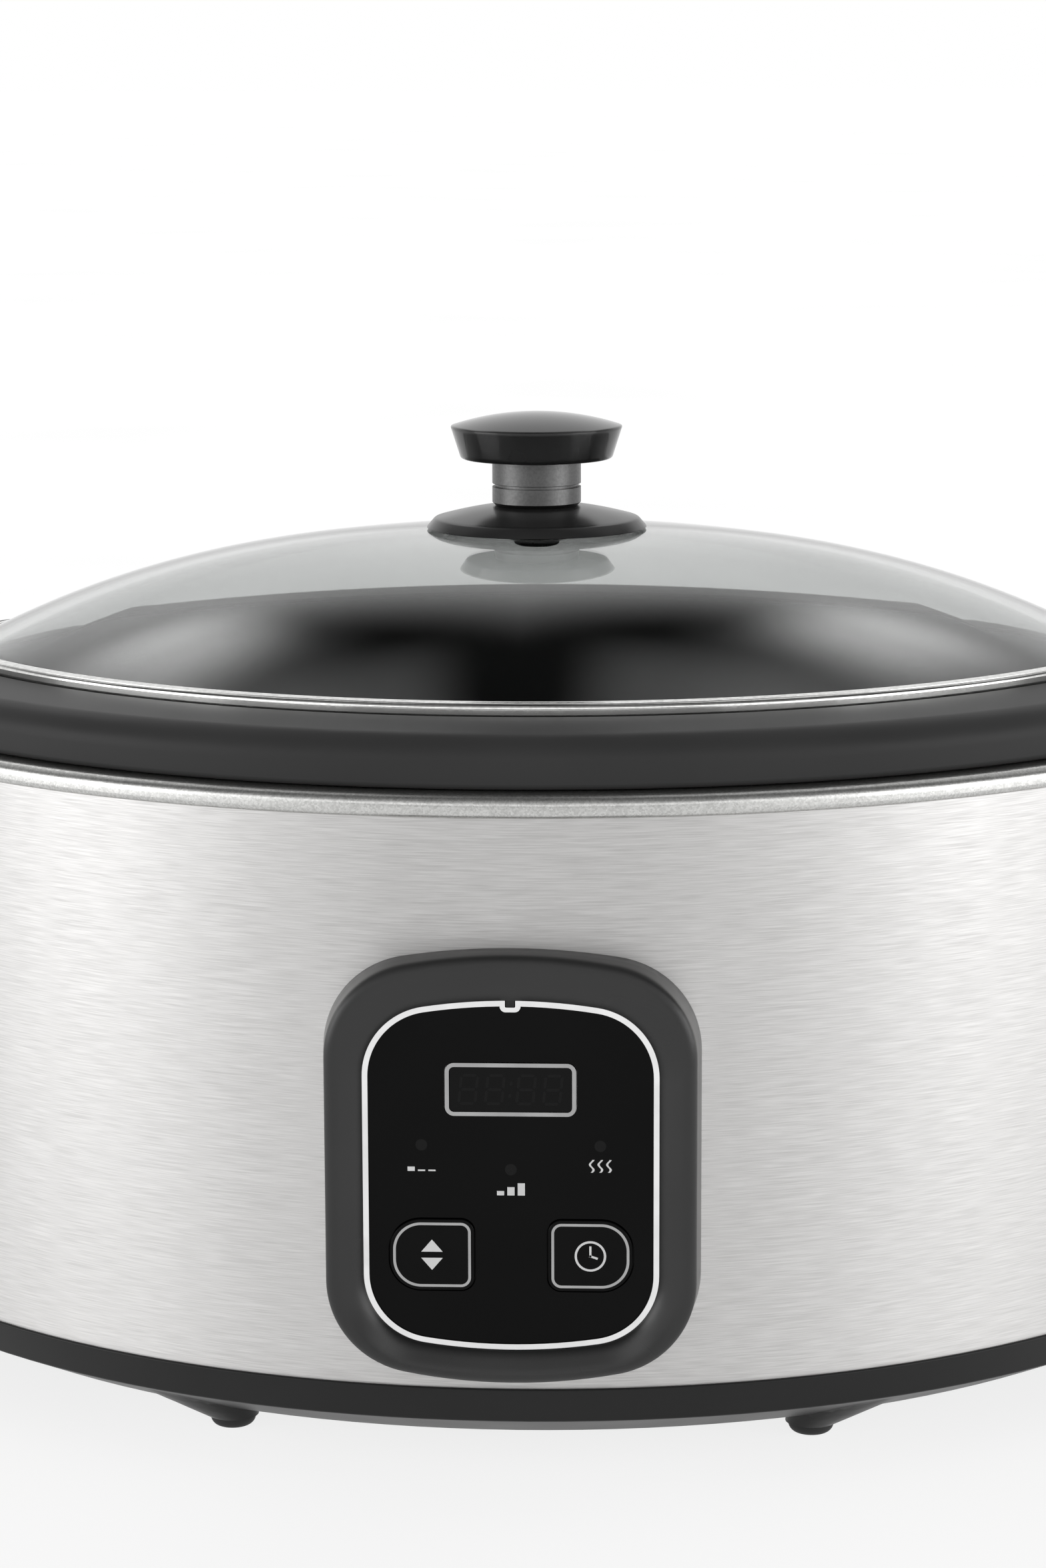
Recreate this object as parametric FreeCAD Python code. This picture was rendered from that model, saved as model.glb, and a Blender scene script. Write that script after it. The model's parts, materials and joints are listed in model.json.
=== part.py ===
import FreeCAD, Part
import math
import os

V = FreeCAD.Vector
UP = V(0, 0, 1)
BACK = V(0, 1, 0)

# Countertop slow cooker with an oval body, a lift-out crock, a glass lid and a front control panel.
# Millimetres. The origin is the middle of the oval on the table, +Z is up and the panel faces -Y.

# Body outline, an oval of four tangent arcs
half_length = 170.0
half_width = 132.0
end_radius = 99.4

# Heights stacked from the table upwards
foot_height = 2.6
boss_height = 4.1
undercut_rise = 7.2
band_height = 8.1
wrap_rise = 135.4
flange_height = 11.6
ledge_rise = 1.4

# Clearances
seat_gap = 0.3
slide_gap = 0.3
part_gap = 0.15

# Base pan
pan_wall = 2.5
pan_undercut = 14.9
pan_band_draft = 1.1
pan_lip = 0.9
groove_depth = 2.5
pan_tongue = 3.5
boss_top_radius = 16.5
boss_foot_radius = 6.0
boss_shift = 11.5
vent_count = 5
vent_length = 26.0
vent_width = 2.6
vent_pitch = 9.0
vent_inset = 62.0

# Feet
foot_inset = 23.5
foot_x = 67.7
nub_radius = 5.3
nub_round = 2.2
stem_radius = 2.8

# Steel wrap and heating well
wrap_sheet = 0.6
well_sheet = 0.8
lip_overhang = 1.8
lip_drop = 5.2
lip_top_round = 2.7
lip_foot_round = 1.5
well_floor_rise = 21.8
well_corner = 14.0
well_top_round = 3.0
crock_room = 1.4

# Stoneware crock
band_inset = 3.0
flange_reach = 21.2
crock_wall = 9.3
crock_taper = 6.0
crock_floor = 9.0
crock_lift = 1.5
crock_shoulder = 6.5
crock_outer_round = 16.0
crock_inner_round = 18.0
ledge_width = 21.8
seat_depth = 1.7
foot_ring_width = 7.0
foot_ring_height = 1.2

# Lid glass and its metal edge
lid_room = 0.8
rim_sheet = 0.7
rim_round = 1.3
rim_over = 2.8
rim_lip = 0.5
rim_under = 4.6
glass_edge = 1.6
glass_thickness = 4.0
dome_rise = 29.4
dome_power = 2.6

# Lid knob
gasket_radius = 22.0
gasket_height = 1.4
skirt_radius = 27.7
skirt_bevel = 1.5
skirt_rim_height = 4.2
skirt_height = 4.0
skirt_wall = 2.2
neck_radius = 11.0
collar_height = 5.5
groove_width = 0.8
groove_cut = 0.9
sleeve_height = 6.2
cap_foot_radius = 18.75
cap_radius = 21.3
cap_height = 8.0
cap_dome = 3.4
screw_radius = 2.4
screw_head_radius = 5.85
screw_head_height = 1.6
screw_grip = 5.0
washer_radius = 7.5
washer_height = 0.5
hole_room = 0.8

# Control panel outline, seen from the front
border_half_width = 32.85
border_half_height = 39.9
border_crown = 125.0
border_corner = 16.0
border_line = 1.25
frame_width = 9.45
frame_height = 9.95
frame_corner = 22.5
panel_gap = 2.15
border_drop = 1.7

# Control panel depths, measured out from the front of the body
crest_stand = 7.0
dish_depth = 2.5
seat_stand = 1.4
fascia_thickness = 2.2
trim_proud = 0.35
frame_draft = 1.3
crest_round = 1.5
crest_land = 1.7
shelf_width = 3.0
shelf_thickness = 2.0
tube_wall = 2.5
tube_depth = 7.5
board_stand = 2.8
board_thickness = 1.6
notch_half_width = 2.3
notch_depth = 2.6
tab_half_width = 1.0
tab_depth = 1.4

# Display, lamps and keys
display_half_width = 14.5
display_half_height = 6.0
display_line = 0.9
display_corner = 2.0
display_up = 19.75
lens_thickness = 1.4
lamp_side = 19.8
lamp_up = 7.0
lamp_drop = 5.5
lamp_radius = 1.5
key_half_width = 9.4
key_half_height = 8.15
key_round_corner = 7.0
key_square_corner = 3.0
key_side = 17.6
key_down = 18.1
key_line = 0.7
key_proud = 0.4
key_travel = 0.6
key_lip = 0.8
key_lip_thickness = 0.8
switch_half = 3.0
switch_height = 1.4
plunger_radius = 1.7
plunger_height = 0.5

# Side handles
handle_reach = 36.0
handle_grip = 14.0
handle_half_angle = 29.0
handle_gap_angle = 20.0
handle_height = 18.0
handle_below_rim = 16.0
handle_round = 4.5
handle_corner = 8.4

# Small fasteners
fastener_radius = 1.5
fastener_head = 2.8
fastener_head_height = 1.6
fastener_grip = 6.0

# Parts under the heating well
post_radius = 4.0
post_inset_x = 74.0
post_inset_y = 58.0
heater_sheet = 1.2
heater_height = 46.0
heater_up = 22.0
heater_split = 8.0
sensor_radius = 8.0
sensor_height = 6.5
fuse_radius = 2.2
fuse_length = 14.0
fuse_offset = 26.0
power_half_length = 42.0
power_half_width = 22.0
power_back = 52.0
power_rise = 4.0
relay_length = 20.0
relay_width = 15.0
relay_height = 9.0
block_length = 24.0
block_width = 12.0
block_height = 10.0

# Cord gland at the back
gland_bore = 3.8
gland_neck = 6.0
gland_flange = 9.0
gland_stand = 3.6
gland_tail = 7.0
gland_up = 16.0

# Derived oval values
front_radius = (half_length ** 2 + half_width ** 2 - 2 * half_length * end_radius)
front_radius = front_radius / (2 * (half_width - end_radius))
end_centre = half_length - end_radius
front_centre = front_radius - half_width
join_angle = math.degrees(math.atan2(front_centre, end_centre))

# Derived levels
boss_z = foot_height
floor_z = boss_z + boss_height
pan_floor_z = floor_z + pan_wall
crease_z = floor_z + undercut_rise
band_top_z = crease_z + band_height
groove_z = band_top_z - groove_depth
rim_z = band_top_z + wrap_rise
wrap_top_z = rim_z - well_sheet
well_floor_z = floor_z + well_floor_rise
crock_foot_z = well_floor_z + crock_lift
flange_z = rim_z + seat_gap
shoulder_z = flange_z + flange_height
ledge_z = shoulder_z + ledge_rise
lid_seat_z = ledge_z - seat_depth
rim_foot_z = lid_seat_z + seat_gap
glass_foot_z = rim_foot_z + rim_sheet
glass_edge_z = glass_foot_z + glass_edge
glass_top_z = glass_edge_z + dome_rise
glass_under_z = glass_top_z - glass_thickness

# Derived offsets from the body outline, negative inwards
crease_offset = -pan_band_draft
floor_offset = crease_offset - pan_undercut
crock_top_offset = -(band_inset + flange_reach)
crock_foot_offset = crock_top_offset - crock_taper
mouth_offset = crock_top_offset - crock_wall
well_top_offset = crock_top_offset + crock_room
well_foot_offset = crock_foot_offset + crock_room
ledge_offset = -(band_inset + ledge_width)
rim_offset = ledge_offset - lid_room
glass_offset = rim_offset - rim_sheet - part_gap
core_offset = -0.6 * end_radius

# Derived panel planes and centre
crest_y = -(half_width + crest_stand)
seat_y = -(half_width + seat_stand)
fascia_y = seat_y - fascia_thickness
dish_y = crest_y + dish_depth
shelf_y = seat_y + shelf_thickness
board_y = shelf_y + board_stand
tube_y = -(half_width - tube_depth)
bezel_half_width = border_half_width + frame_width
bezel_half_height = border_half_height + frame_height
panel_z = band_top_z + panel_gap + bezel_half_height
border_z = panel_z - border_drop
display_z = border_z + display_up
key_z = border_z - key_down

# Derived knob levels
gasket_z = glass_top_z
skirt_foot_z = gasket_z
skirt_top_z = gasket_z + gasket_height + skirt_height
collar_top_z = skirt_top_z + collar_height
sleeve_top_z = collar_top_z + sleeve_height
cap_top_z = sleeve_top_z + cap_height + cap_dome
washer_z = glass_under_z - part_gap - washer_height
shank_room = screw_radius + part_gap


def rounded_profile(corners):
    """Closed profile in the XZ plane through (x, z, radius) corners, each rounded by its own radius."""
    spans = []
    count = len(corners)
    for place, (x, z, radius) in enumerate(corners):
        here = V(x, 0, z)
        behind = corners[place - 1]
        ahead = corners[(place + 1) % count]
        to_behind = (V(behind[0], 0, behind[1]) - here).normalize()
        to_ahead = (V(ahead[0], 0, ahead[1]) - here).normalize()
        if radius <= 0:
            spans.append((here, None, here))
            continue
        half = to_behind.getAngle(to_ahead) / 2
        run = radius / math.tan(half)
        centre = here + (to_behind + to_ahead).normalize() * (radius / math.sin(half))
        middle = centre + (here - centre).normalize() * radius
        spans.append((here + to_behind * run, middle, here + to_ahead * run))
    edges = []
    for place, (start, middle, stop) in enumerate(spans):
        if middle is not None:
            edges.append(Part.Arc(start, middle, stop).toShape())
        following = spans[(place + 1) % count][0]
        if (following - stop).Length > 1e-6:
            edges.append(Part.LineSegment(stop, following).toShape())
    return Part.Wire(edges)


def turned(corners):
    """Solid of revolution about the vertical axis from (radius, level, rounding) corners."""
    return Part.Face(rounded_profile(corners)).revolve(V(0, 0, 0), UP, 360)


def oval_arcs():
    """The four arcs of the oval: centre, radius, start angle and sweep in degrees."""
    end_sweep = 2 * join_angle
    side_sweep = 180 - end_sweep
    return [
        (V(end_centre, 0, 0), end_radius, -join_angle, end_sweep),
        (V(0, -front_centre, 0), front_radius, join_angle, side_sweep),
        (V(-end_centre, 0, 0), end_radius, 180 - join_angle, end_sweep),
        (V(0, front_centre, 0), front_radius, 180 + join_angle, side_sweep),
    ]


def oval_wire(offset, level):
    """The body outline grown by an offset, at a level."""
    edges = []
    for centre, radius, start, sweep in oval_arcs():
        points = []
        for share in (0, 0.5, 1):
            angle = math.radians(start + share * sweep)
            reach = V(math.cos(angle), math.sin(angle), 0) * (radius + offset)
            points.append(centre + reach + V(0, 0, level))
        edges.append(Part.Arc(*points).toShape())
    return Part.Wire(edges)


def oval_plate(offset, low, high):
    """Solid slab with the grown body outline between two levels."""
    return Part.Face(oval_wire(offset, low)).extrude(V(0, 0, high - low))


def oval_sweep(corners):
    """Carry an (offset, level, rounding) profile once round the oval."""
    sectors = []
    for centre, radius, start, sweep in oval_arcs():
        section = Part.Face(rounded_profile(corners))
        section.translate(V(radius, 0, 0))
        section.rotate(V(0, 0, 0), UP, start)
        section.translate(centre)
        sectors.append(section.revolve(centre, UP, sweep))
    return sectors[0].fuse(sectors[1:]).removeSplitter()


def crowned_wire(half_w, half_h, crown, corner, depth, centre_z):
    """Upright panel outline with bowed top and bottom and round corners, at a depth along Y."""
    lift = half_h - crown
    across = half_w - corner
    rise = lift + math.sqrt((crown - corner) ** 2 - across ** 2)
    lean = math.atan2(rise - lift, across)
    touch = V(crown * math.cos(lean), 0, lift + crown * math.sin(lean))
    bend = V(across + corner * math.cos(lean / 2), 0, rise + corner * math.sin(lean / 2))
    side = V(half_w, 0, rise)

    def turn(point, sign_x, sign_z):
        return V(sign_x * point.x, depth, centre_z + sign_z * point.z)

    top = V(0, 0, half_h)
    edges = [
        Part.Arc(turn(touch, -1, 1), turn(top, 1, 1), turn(touch, 1, 1)).toShape(),
        Part.Arc(turn(touch, 1, 1), turn(bend, 1, 1), turn(side, 1, 1)).toShape(),
        Part.LineSegment(turn(side, 1, 1), turn(side, 1, -1)).toShape(),
        Part.Arc(turn(side, 1, -1), turn(bend, 1, -1), turn(touch, 1, -1)).toShape(),
        Part.Arc(turn(touch, 1, -1), turn(top, 1, -1), turn(touch, -1, -1)).toShape(),
        Part.Arc(turn(touch, -1, -1), turn(bend, -1, -1), turn(side, -1, -1)).toShape(),
        Part.LineSegment(turn(side, -1, -1), turn(side, -1, 1)).toShape(),
        Part.Arc(turn(side, -1, 1), turn(bend, -1, 1), turn(touch, -1, 1)).toShape(),
    ]
    return Part.Wire(edges)


def border_wire(grow, depth):
    """The border outline of the panel grown by an amount, at a depth."""
    return crowned_wire(border_half_width + grow, border_half_height + grow,
                        border_crown + grow, border_corner + grow, depth, border_z)


def frame_wire(grow, depth):
    """The outer outline of the panel frame grown by an amount, at a depth."""
    return crowned_wire(bezel_half_width + grow, bezel_half_height + grow,
                        border_crown + grow, frame_corner + grow, depth, panel_z)


def border_block(grow, front, back):
    """Solid with the grown border outline between two depths."""
    return Part.Face(border_wire(grow, front)).extrude(V(0, back - front, 0))


def front_block(half_w, half_h, left_corner, right_corner, at_x, at_z, front, back):
    """Block seen from the front as a rounded rectangle with its own left and right corners."""
    corners = [
        (at_x - half_w, at_z - half_h, left_corner),
        (at_x + half_w, at_z - half_h, right_corner),
        (at_x + half_w, at_z + half_h, right_corner),
        (at_x - half_w, at_z + half_h, left_corner),
    ]
    face = Part.Face(rounded_profile(corners))
    face.translate(V(0, front, 0))
    return face.extrude(V(0, back - front, 0))


def front_rod(radius, at_x, at_z, front, back):
    """Round rod along Y."""
    return Part.makeCylinder(radius, back - front, V(at_x, front, at_z), BACK)


def front_wall_y(at_x, inset):
    """Y of the front wall of the body, set in from its outside, at a distance across."""
    return front_centre - math.sqrt((front_radius - inset) ** 2 - at_x ** 2)


def join(shapes):
    """One shape from several that meet."""
    return shapes[0].fuse(shapes[1:]).removeSplitter()


def mirrored_pair(shape):
    """The shape and its mirror image across the middle plane."""
    return [shape, shape.mirror(V(0, 0, 0), V(1, 0, 0))]


def in_four_corners(shape):
    """The shape repeated front and back, left and right."""
    pair = mirrored_pair(shape)
    return pair + [piece.mirror(V(0, 0, 0), BACK) for piece in pair]


def edges_at(shape, test):
    """Edges whose middle passes a test."""
    return [edge for edge in shape.Edges if test(edge.CenterOfMass)]


# Base and feet


def foot_spot():
    """Middle of the front right foot."""
    reach = front_radius - foot_inset
    return V(foot_x, front_centre - math.sqrt(reach ** 2 - foot_x ** 2), 0)


def foot_boss():
    """Boss that carries a rubber foot and flares outwards along the pan's undercut."""
    heel = foot_spot() + V(0, 0, boss_z)
    crown = foot_spot() + V(boss_shift, 0, crease_z)
    rings = [Part.Wire(Part.makeCircle(boss_foot_radius, heel)),
             Part.Wire(Part.makeCircle(boss_top_radius, crown))]
    return Part.makeLoft(rings, True, True)


def post_spots():
    """The four upright posts between pan and well."""
    return [V(sx * post_inset_x, sy * post_inset_y, 0) for sx in (-1, 1) for sy in (-1, 1)]


def power_post_spots():
    """The four short posts under the power board."""
    away_x = power_half_length - 2 * fastener_head
    away_y = power_half_width - 2 * fastener_head
    return [V(sx * away_x, power_back + sy * away_y, 0) for sx in (-1, 1) for sy in (-1, 1)]


def vent_slots():
    """Rows of slots through the pan floor near both ends."""
    slots = []
    middle = (vent_count - 1) / 2
    for place in range(vent_count):
        at_x = half_length - vent_inset + (place - middle) * vent_pitch
        slot = Part.makeBox(vent_width, vent_length, 2 * pan_wall,
                            V(at_x - vent_width / 2, -vent_length / 2, floor_z - pan_wall / 2))
        uprights = [edge for edge in slot.Edges if edge.tangentAt(0).isParallel(UP, 0.01)]
        slot = slot.makeFillet(0.45 * vent_width, uprights)
        slots += mirrored_pair(slot)
    return slots


def base_pan():
    """Moulded black pan: undercut foot, upright band, groove for the wrap, posts and vents."""
    outside = oval_sweep([
        (core_offset, floor_z, 0),
        (floor_offset, floor_z, 1.2),
        (crease_offset, crease_z, 0.8),
        (pan_lip, band_top_z, 0.45),
        (pan_lip - 2 * pan_wall, band_top_z, 0),
        (core_offset, band_top_z, 0),
    ])
    core = oval_plate(core_offset + 0.5, floor_z, band_top_z)
    solid = join([outside, core] + in_four_corners(foot_boss()))
    tongue_out = -wrap_sheet - part_gap
    tongue_in = tongue_out - pan_wall
    tongue = oval_sweep([
        (tongue_in, crease_z + pan_wall, 0),
        (tongue_out, crease_z + pan_wall, 0),
        (tongue_out, band_top_z + pan_tongue, 0.6),
        (tongue_in, band_top_z + pan_tongue, 0),
    ])
    slope = undercut_rise / pan_undercut
    hollow_foot = floor_offset - pan_wall * slope
    hollow = oval_sweep([
        (core_offset, pan_floor_z, 0),
        (hollow_foot, pan_floor_z, 1.0),
        (tongue_in, pan_floor_z + (tongue_in - hollow_foot) * slope, 1.0),
        (tongue_in, band_top_z + 1, 0),
        (core_offset, band_top_z + 1, 0),
    ])
    hollow_core = oval_plate(core_offset + 0.5, pan_floor_z, band_top_z + 1)
    groove = oval_sweep([
        (tongue_out, groove_z, 0),
        (part_gap, groove_z, 0),
        (part_gap, band_top_z + 1, 0),
        (tongue_out, band_top_z + 1, 0),
    ])
    solid = solid.cut([hollow, hollow_core, groove]).fuse(tongue)
    for spot in power_post_spots():
        post = Part.makeCylinder(fastener_head, power_rise, spot + V(0, 0, pan_floor_z))
        solid = solid.fuse(post)
    drills = vent_slots()
    for spot in post_spots():
        drills.append(Part.makeCylinder(fastener_radius + part_gap, 4 * pan_wall, spot))
        drills.append(Part.makeCylinder(fastener_head + part_gap, fastener_head_height,
                                        spot + V(0, 0, floor_z)))
    for spot in power_post_spots():
        drills.append(Part.makeCylinder(fastener_radius, power_rise, spot + V(0, 0, pan_floor_z)))
    socket = Part.makeCylinder(stem_radius + part_gap, boss_height, foot_spot() + V(0, 0, boss_z))
    drills += in_four_corners(socket)
    return solid.cut(drills).removeSplitter()


def rubber_foot():
    """Round rubber nub with a stem that is pushed into its boss."""
    foot = turned([
        (0, 0, 0),
        (nub_radius, 0, nub_round),
        (nub_radius, boss_z, 0.3),
        (stem_radius, boss_z, 0),
        (stem_radius, floor_z - 0.5, 0.5),
        (0, floor_z - 0.5, 0),
    ])
    foot.translate(foot_spot())
    return foot


# Steel wrap, heating well and crock


def bezel_screw_spots():
    """Four screws that hold the panel frame from behind the wrap: across and level."""
    across = border_half_width + tube_wall + (frame_width - tube_wall) / 2
    up = border_half_height - border_corner
    return [(sx * across, panel_z + sz * up) for sx in (-1, 1) for sz in (-1, 1)]


def handle_screw_spots():
    """Angles of the two screws in each handle, about the end of the oval."""
    middle = (handle_half_angle + handle_gap_angle) / 2
    return (-middle, middle)


def handle_level():
    """Middle height of the handles."""
    return rim_z - lip_drop - handle_below_rim - handle_height / 2


def handle_rod(radius, start, stop, angle):
    """Round rod pointing out from the right end of the oval at an angle."""
    ray = V(math.cos(math.radians(angle)), math.sin(math.radians(angle)), 0)
    foot = V(end_centre, 0, handle_level()) + ray * (end_radius + start)
    return Part.makeCylinder(radius, stop - start, foot, ray)


def gland_level():
    """Height of the cord gland."""
    return band_top_z + gland_up


def outer_wrap():
    """Brushed steel sheet round the body, open for the panel, handle screws and cord gland."""
    sheet = oval_sweep([
        (-wrap_sheet, groove_z, 0),
        (0, groove_z, 0),
        (0, wrap_top_z, 0),
        (-wrap_sheet, wrap_top_z, 0),
    ])
    cuts = [border_block(tube_wall + slide_gap, crest_y, tube_y + tube_wall)]
    for at_x, at_z in bezel_screw_spots():
        cuts.append(front_rod(fastener_radius + part_gap, at_x, at_z, crest_y, tube_y))
    for angle in handle_screw_spots():
        rod = handle_rod(fastener_radius + part_gap, -3 * wrap_sheet, wrap_sheet, angle)
        cuts += mirrored_pair(rod)
    cuts.append(front_rod(gland_neck + part_gap, 0, gland_level(), half_width - gland_tail, half_width + 1))
    return sheet.cut(cuts)


def heating_well():
    """Pressed metal bucket whose flange rolls over the top of the wrap."""
    hook_end = part_gap
    lip_in = lip_overhang - well_sheet
    wall = oval_sweep([
        (core_offset, well_floor_z, 0),
        (well_foot_offset, well_floor_z, well_corner),
        (well_top_offset, rim_z, well_top_round),
        (lip_overhang, rim_z, lip_top_round),
        (lip_overhang, rim_z - lip_drop, lip_foot_round),
        (hook_end, rim_z - lip_drop, 0),
        (hook_end, rim_z - lip_drop + well_sheet, 0),
        (lip_in, rim_z - lip_drop + well_sheet, lip_foot_round - well_sheet),
        (lip_in, wrap_top_z, lip_in - hook_end),
        (well_top_offset + well_sheet, wrap_top_z, well_top_round - well_sheet),
        (well_foot_offset + well_sheet, well_floor_z - well_sheet, well_corner + well_sheet),
        (core_offset, well_floor_z - well_sheet, 0),
    ])
    floor = oval_plate(core_offset + 0.5, well_floor_z - well_sheet, well_floor_z)
    return join([wall, floor])


def crock():
    """Glazed stoneware crock: tapered pot, broad rolled flange, sunk ledge for the lid, foot ring."""
    inner_floor = crock_foot_z + foot_ring_height + crock_floor
    mouth_foot = mouth_offset - crock_taper
    ring_in = crock_foot_offset - crock_outer_round - foot_ring_width
    wall = oval_sweep([
        (core_offset, crock_foot_z + foot_ring_height, 0),
        (ring_in, crock_foot_z + foot_ring_height, 0),
        (ring_in, crock_foot_z, 0.6),
        (crock_foot_offset, crock_foot_z, crock_outer_round),
        (crock_top_offset, flange_z, 2.0),
        (-band_inset, flange_z, 1.5),
        (-band_inset, shoulder_z, crock_shoulder),
        (ledge_offset, ledge_z, 0.6),
        (ledge_offset, lid_seat_z, 0.4),
        (mouth_offset, lid_seat_z, 2.5),
        (mouth_foot, inner_floor, crock_inner_round),
        (core_offset, inner_floor, 0),
    ])
    floor = oval_plate(core_offset + 0.5, crock_foot_z + foot_ring_height, inner_floor)
    return join([wall, floor])


# Lid


def dome_solid(drop):
    """Solid under the dome of the lid, lowered by a drop."""
    wires = []
    for scale in (1.0, 0.95, 0.87, 0.73, 0.54, 0.34, 0.16, 0.05):
        level = glass_edge_z - drop + dome_rise * (1 - scale ** dome_power)
        wires.append(oval_wire(glass_offset, level).scale(scale, V(0, 0, level)))
    return Part.makeLoft(wires, True, False)


def lid_glass():
    """Domed oval glass with an upright edge and a hole for the knob screw."""
    outer = dome_solid(0)
    under = [face for face in outer.Faces if abs(face.CenterOfMass.z - glass_edge_z) < 0.01][0]
    edge = under.extrude(V(0, 0, -glass_edge))
    inner = dome_solid(glass_thickness)
    hole = Part.makeCylinder(screw_radius + hole_room, 3 * glass_thickness, V(0, 0, glass_under_z - glass_thickness))
    return outer.fuse(edge).cut([inner, hole]).removeSplitter()


def glass_rise_at(inset):
    """Most that the glass has risen at a distance in from its edge."""
    return dome_rise * (1 - (1 - inset / (half_width + glass_offset)) ** dome_power)


def lid_rim():
    """Bright metal channel rolled round the edge of the glass."""
    inner = rim_offset - rim_sheet
    over = rim_offset - rim_over
    under = rim_offset - rim_under
    lip_z = glass_edge_z + glass_rise_at(glass_offset - over) + part_gap
    return oval_sweep([
        (under, rim_foot_z, 0),
        (rim_offset, rim_foot_z, rim_sheet),
        (rim_offset, lip_z, rim_round),
        (over, lip_z + rim_lip, 0.2),
        (over, lip_z, 0),
        (inner, glass_edge_z + part_gap, 0),
        (inner, glass_foot_z, 0),
        (under, glass_foot_z, 0),
    ])


def knob_gasket():
    """Soft ring between the knob and the glass."""
    return turned([
        (shank_room, gasket_z, 0),
        (gasket_radius, gasket_z, 0.3),
        (gasket_radius, gasket_z + gasket_height, 0.3),
        (shank_room, gasket_z + gasket_height, 0),
    ])


def knob_skirt():
    """Black skirt with a bevelled rim and a slightly domed top, hollow underneath."""
    seat = gasket_z + gasket_height
    rim_top = skirt_foot_z + skirt_rim_height
    return turned([
        (shank_room, seat, 0),
        (gasket_radius + part_gap, seat, 0),
        (skirt_radius - skirt_wall, skirt_foot_z, 0.4),
        (skirt_radius, skirt_foot_z, 0.6),
        (skirt_radius - skirt_bevel, rim_top, 0.9),
        (neck_radius + 2.2, skirt_top_z - 0.25, 4.0),
        (neck_radius - groove_cut, skirt_top_z, 0),
        (shank_room, skirt_top_z, 0),
    ])


def neck_ring(low, high, foot_bevel):
    """Satin ring of the neck with a fine groove above it and a bevel at its foot."""
    return turned([
        (shank_room, low, 0),
        (neck_radius - foot_bevel, low, 0),
        (neck_radius, low + foot_bevel, 0),
        (neck_radius, high - groove_width, 0),
        (neck_radius - groove_cut, high - groove_width, 0),
        (neck_radius - groove_cut, high, 0),
        (shank_room, high, 0),
    ])


def knob_collar():
    """Lower ring of the knob's neck."""
    return neck_ring(skirt_top_z, collar_top_z, groove_cut)


def knob_sleeve():
    """Upper ring of the knob's neck."""
    return neck_ring(collar_top_z, sleeve_top_z, 0.1)


def knob_cap():
    """Mushroom grip: sides that draw in downwards under a shallow domed top."""
    shoulder = sleeve_top_z + cap_height
    dome = (cap_radius ** 2 + cap_dome ** 2) / (2 * cap_dome)
    blank = turned([
        (0, sleeve_top_z, 0),
        (cap_foot_radius, sleeve_top_z, 1.0),
        (cap_radius, shoulder, 0),
        (cap_radius, cap_top_z + 1, 0),
        (0, cap_top_z + 1, 0),
    ])
    ball = Part.makeSphere(dome, V(0, 0, cap_top_z - dome))
    cap = blank.common(ball)
    rim = edges_at(cap, lambda spot: abs(spot.z - shoulder) < 0.05)
    cap = cap.makeFillet(0.4, rim)
    bore = Part.makeCylinder(shank_room, screw_grip + part_gap, V(0, 0, sleeve_top_z))
    return cap.cut(bore)


def knob_washer():
    """Washer against the underside of the glass."""
    return turned([
        (shank_room, washer_z, 0),
        (washer_radius, washer_z, 0.2),
        (washer_radius, washer_z + washer_height, 0.2),
        (shank_room, washer_z + washer_height, 0),
    ])


def knob_screw():
    """Screw with a broad low head that holds the knob from inside the lid."""
    return turned([
        (0, washer_z - screw_head_height, 0),
        (screw_head_radius, washer_z - screw_head_height, 1.4),
        (screw_head_radius, washer_z, 0),
        (screw_radius, washer_z, 0),
        (screw_radius, sleeve_top_z + screw_grip, 0.4),
        (0, sleeve_top_z + screw_grip, 0),
    ])


# Control panel


def notch_block(half_w, depth, round_by, front, back):
    """Small block hanging from the top of the border, rounded at its lower corners."""
    top = border_z + border_half_height
    block = rounded_profile([
        (-half_w, top + 1, 0),
        (-half_w, top - depth, round_by),
        (half_w, top - depth, round_by),
        (half_w, top + 1, 0),
    ])
    face = Part.Face(block)
    face.translate(V(0, front, 0))
    return face.extrude(V(0, back - front, 0))


def board_boss_spots():
    """Four bosses at the corners of the shelf: across and level."""
    inner = border_corner - shelf_width
    across = border_half_width - border_corner
    lift = border_half_height - border_crown
    up = lift + math.sqrt((border_crown - border_corner) ** 2 - across ** 2)
    reach_x = across + inner * math.cos(math.radians(60))
    reach_z = up + inner * math.sin(math.radians(60))
    return [(sx * reach_x, border_z + sz * reach_z) for sx in (-1, 1) for sz in (-1, 1)]


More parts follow.
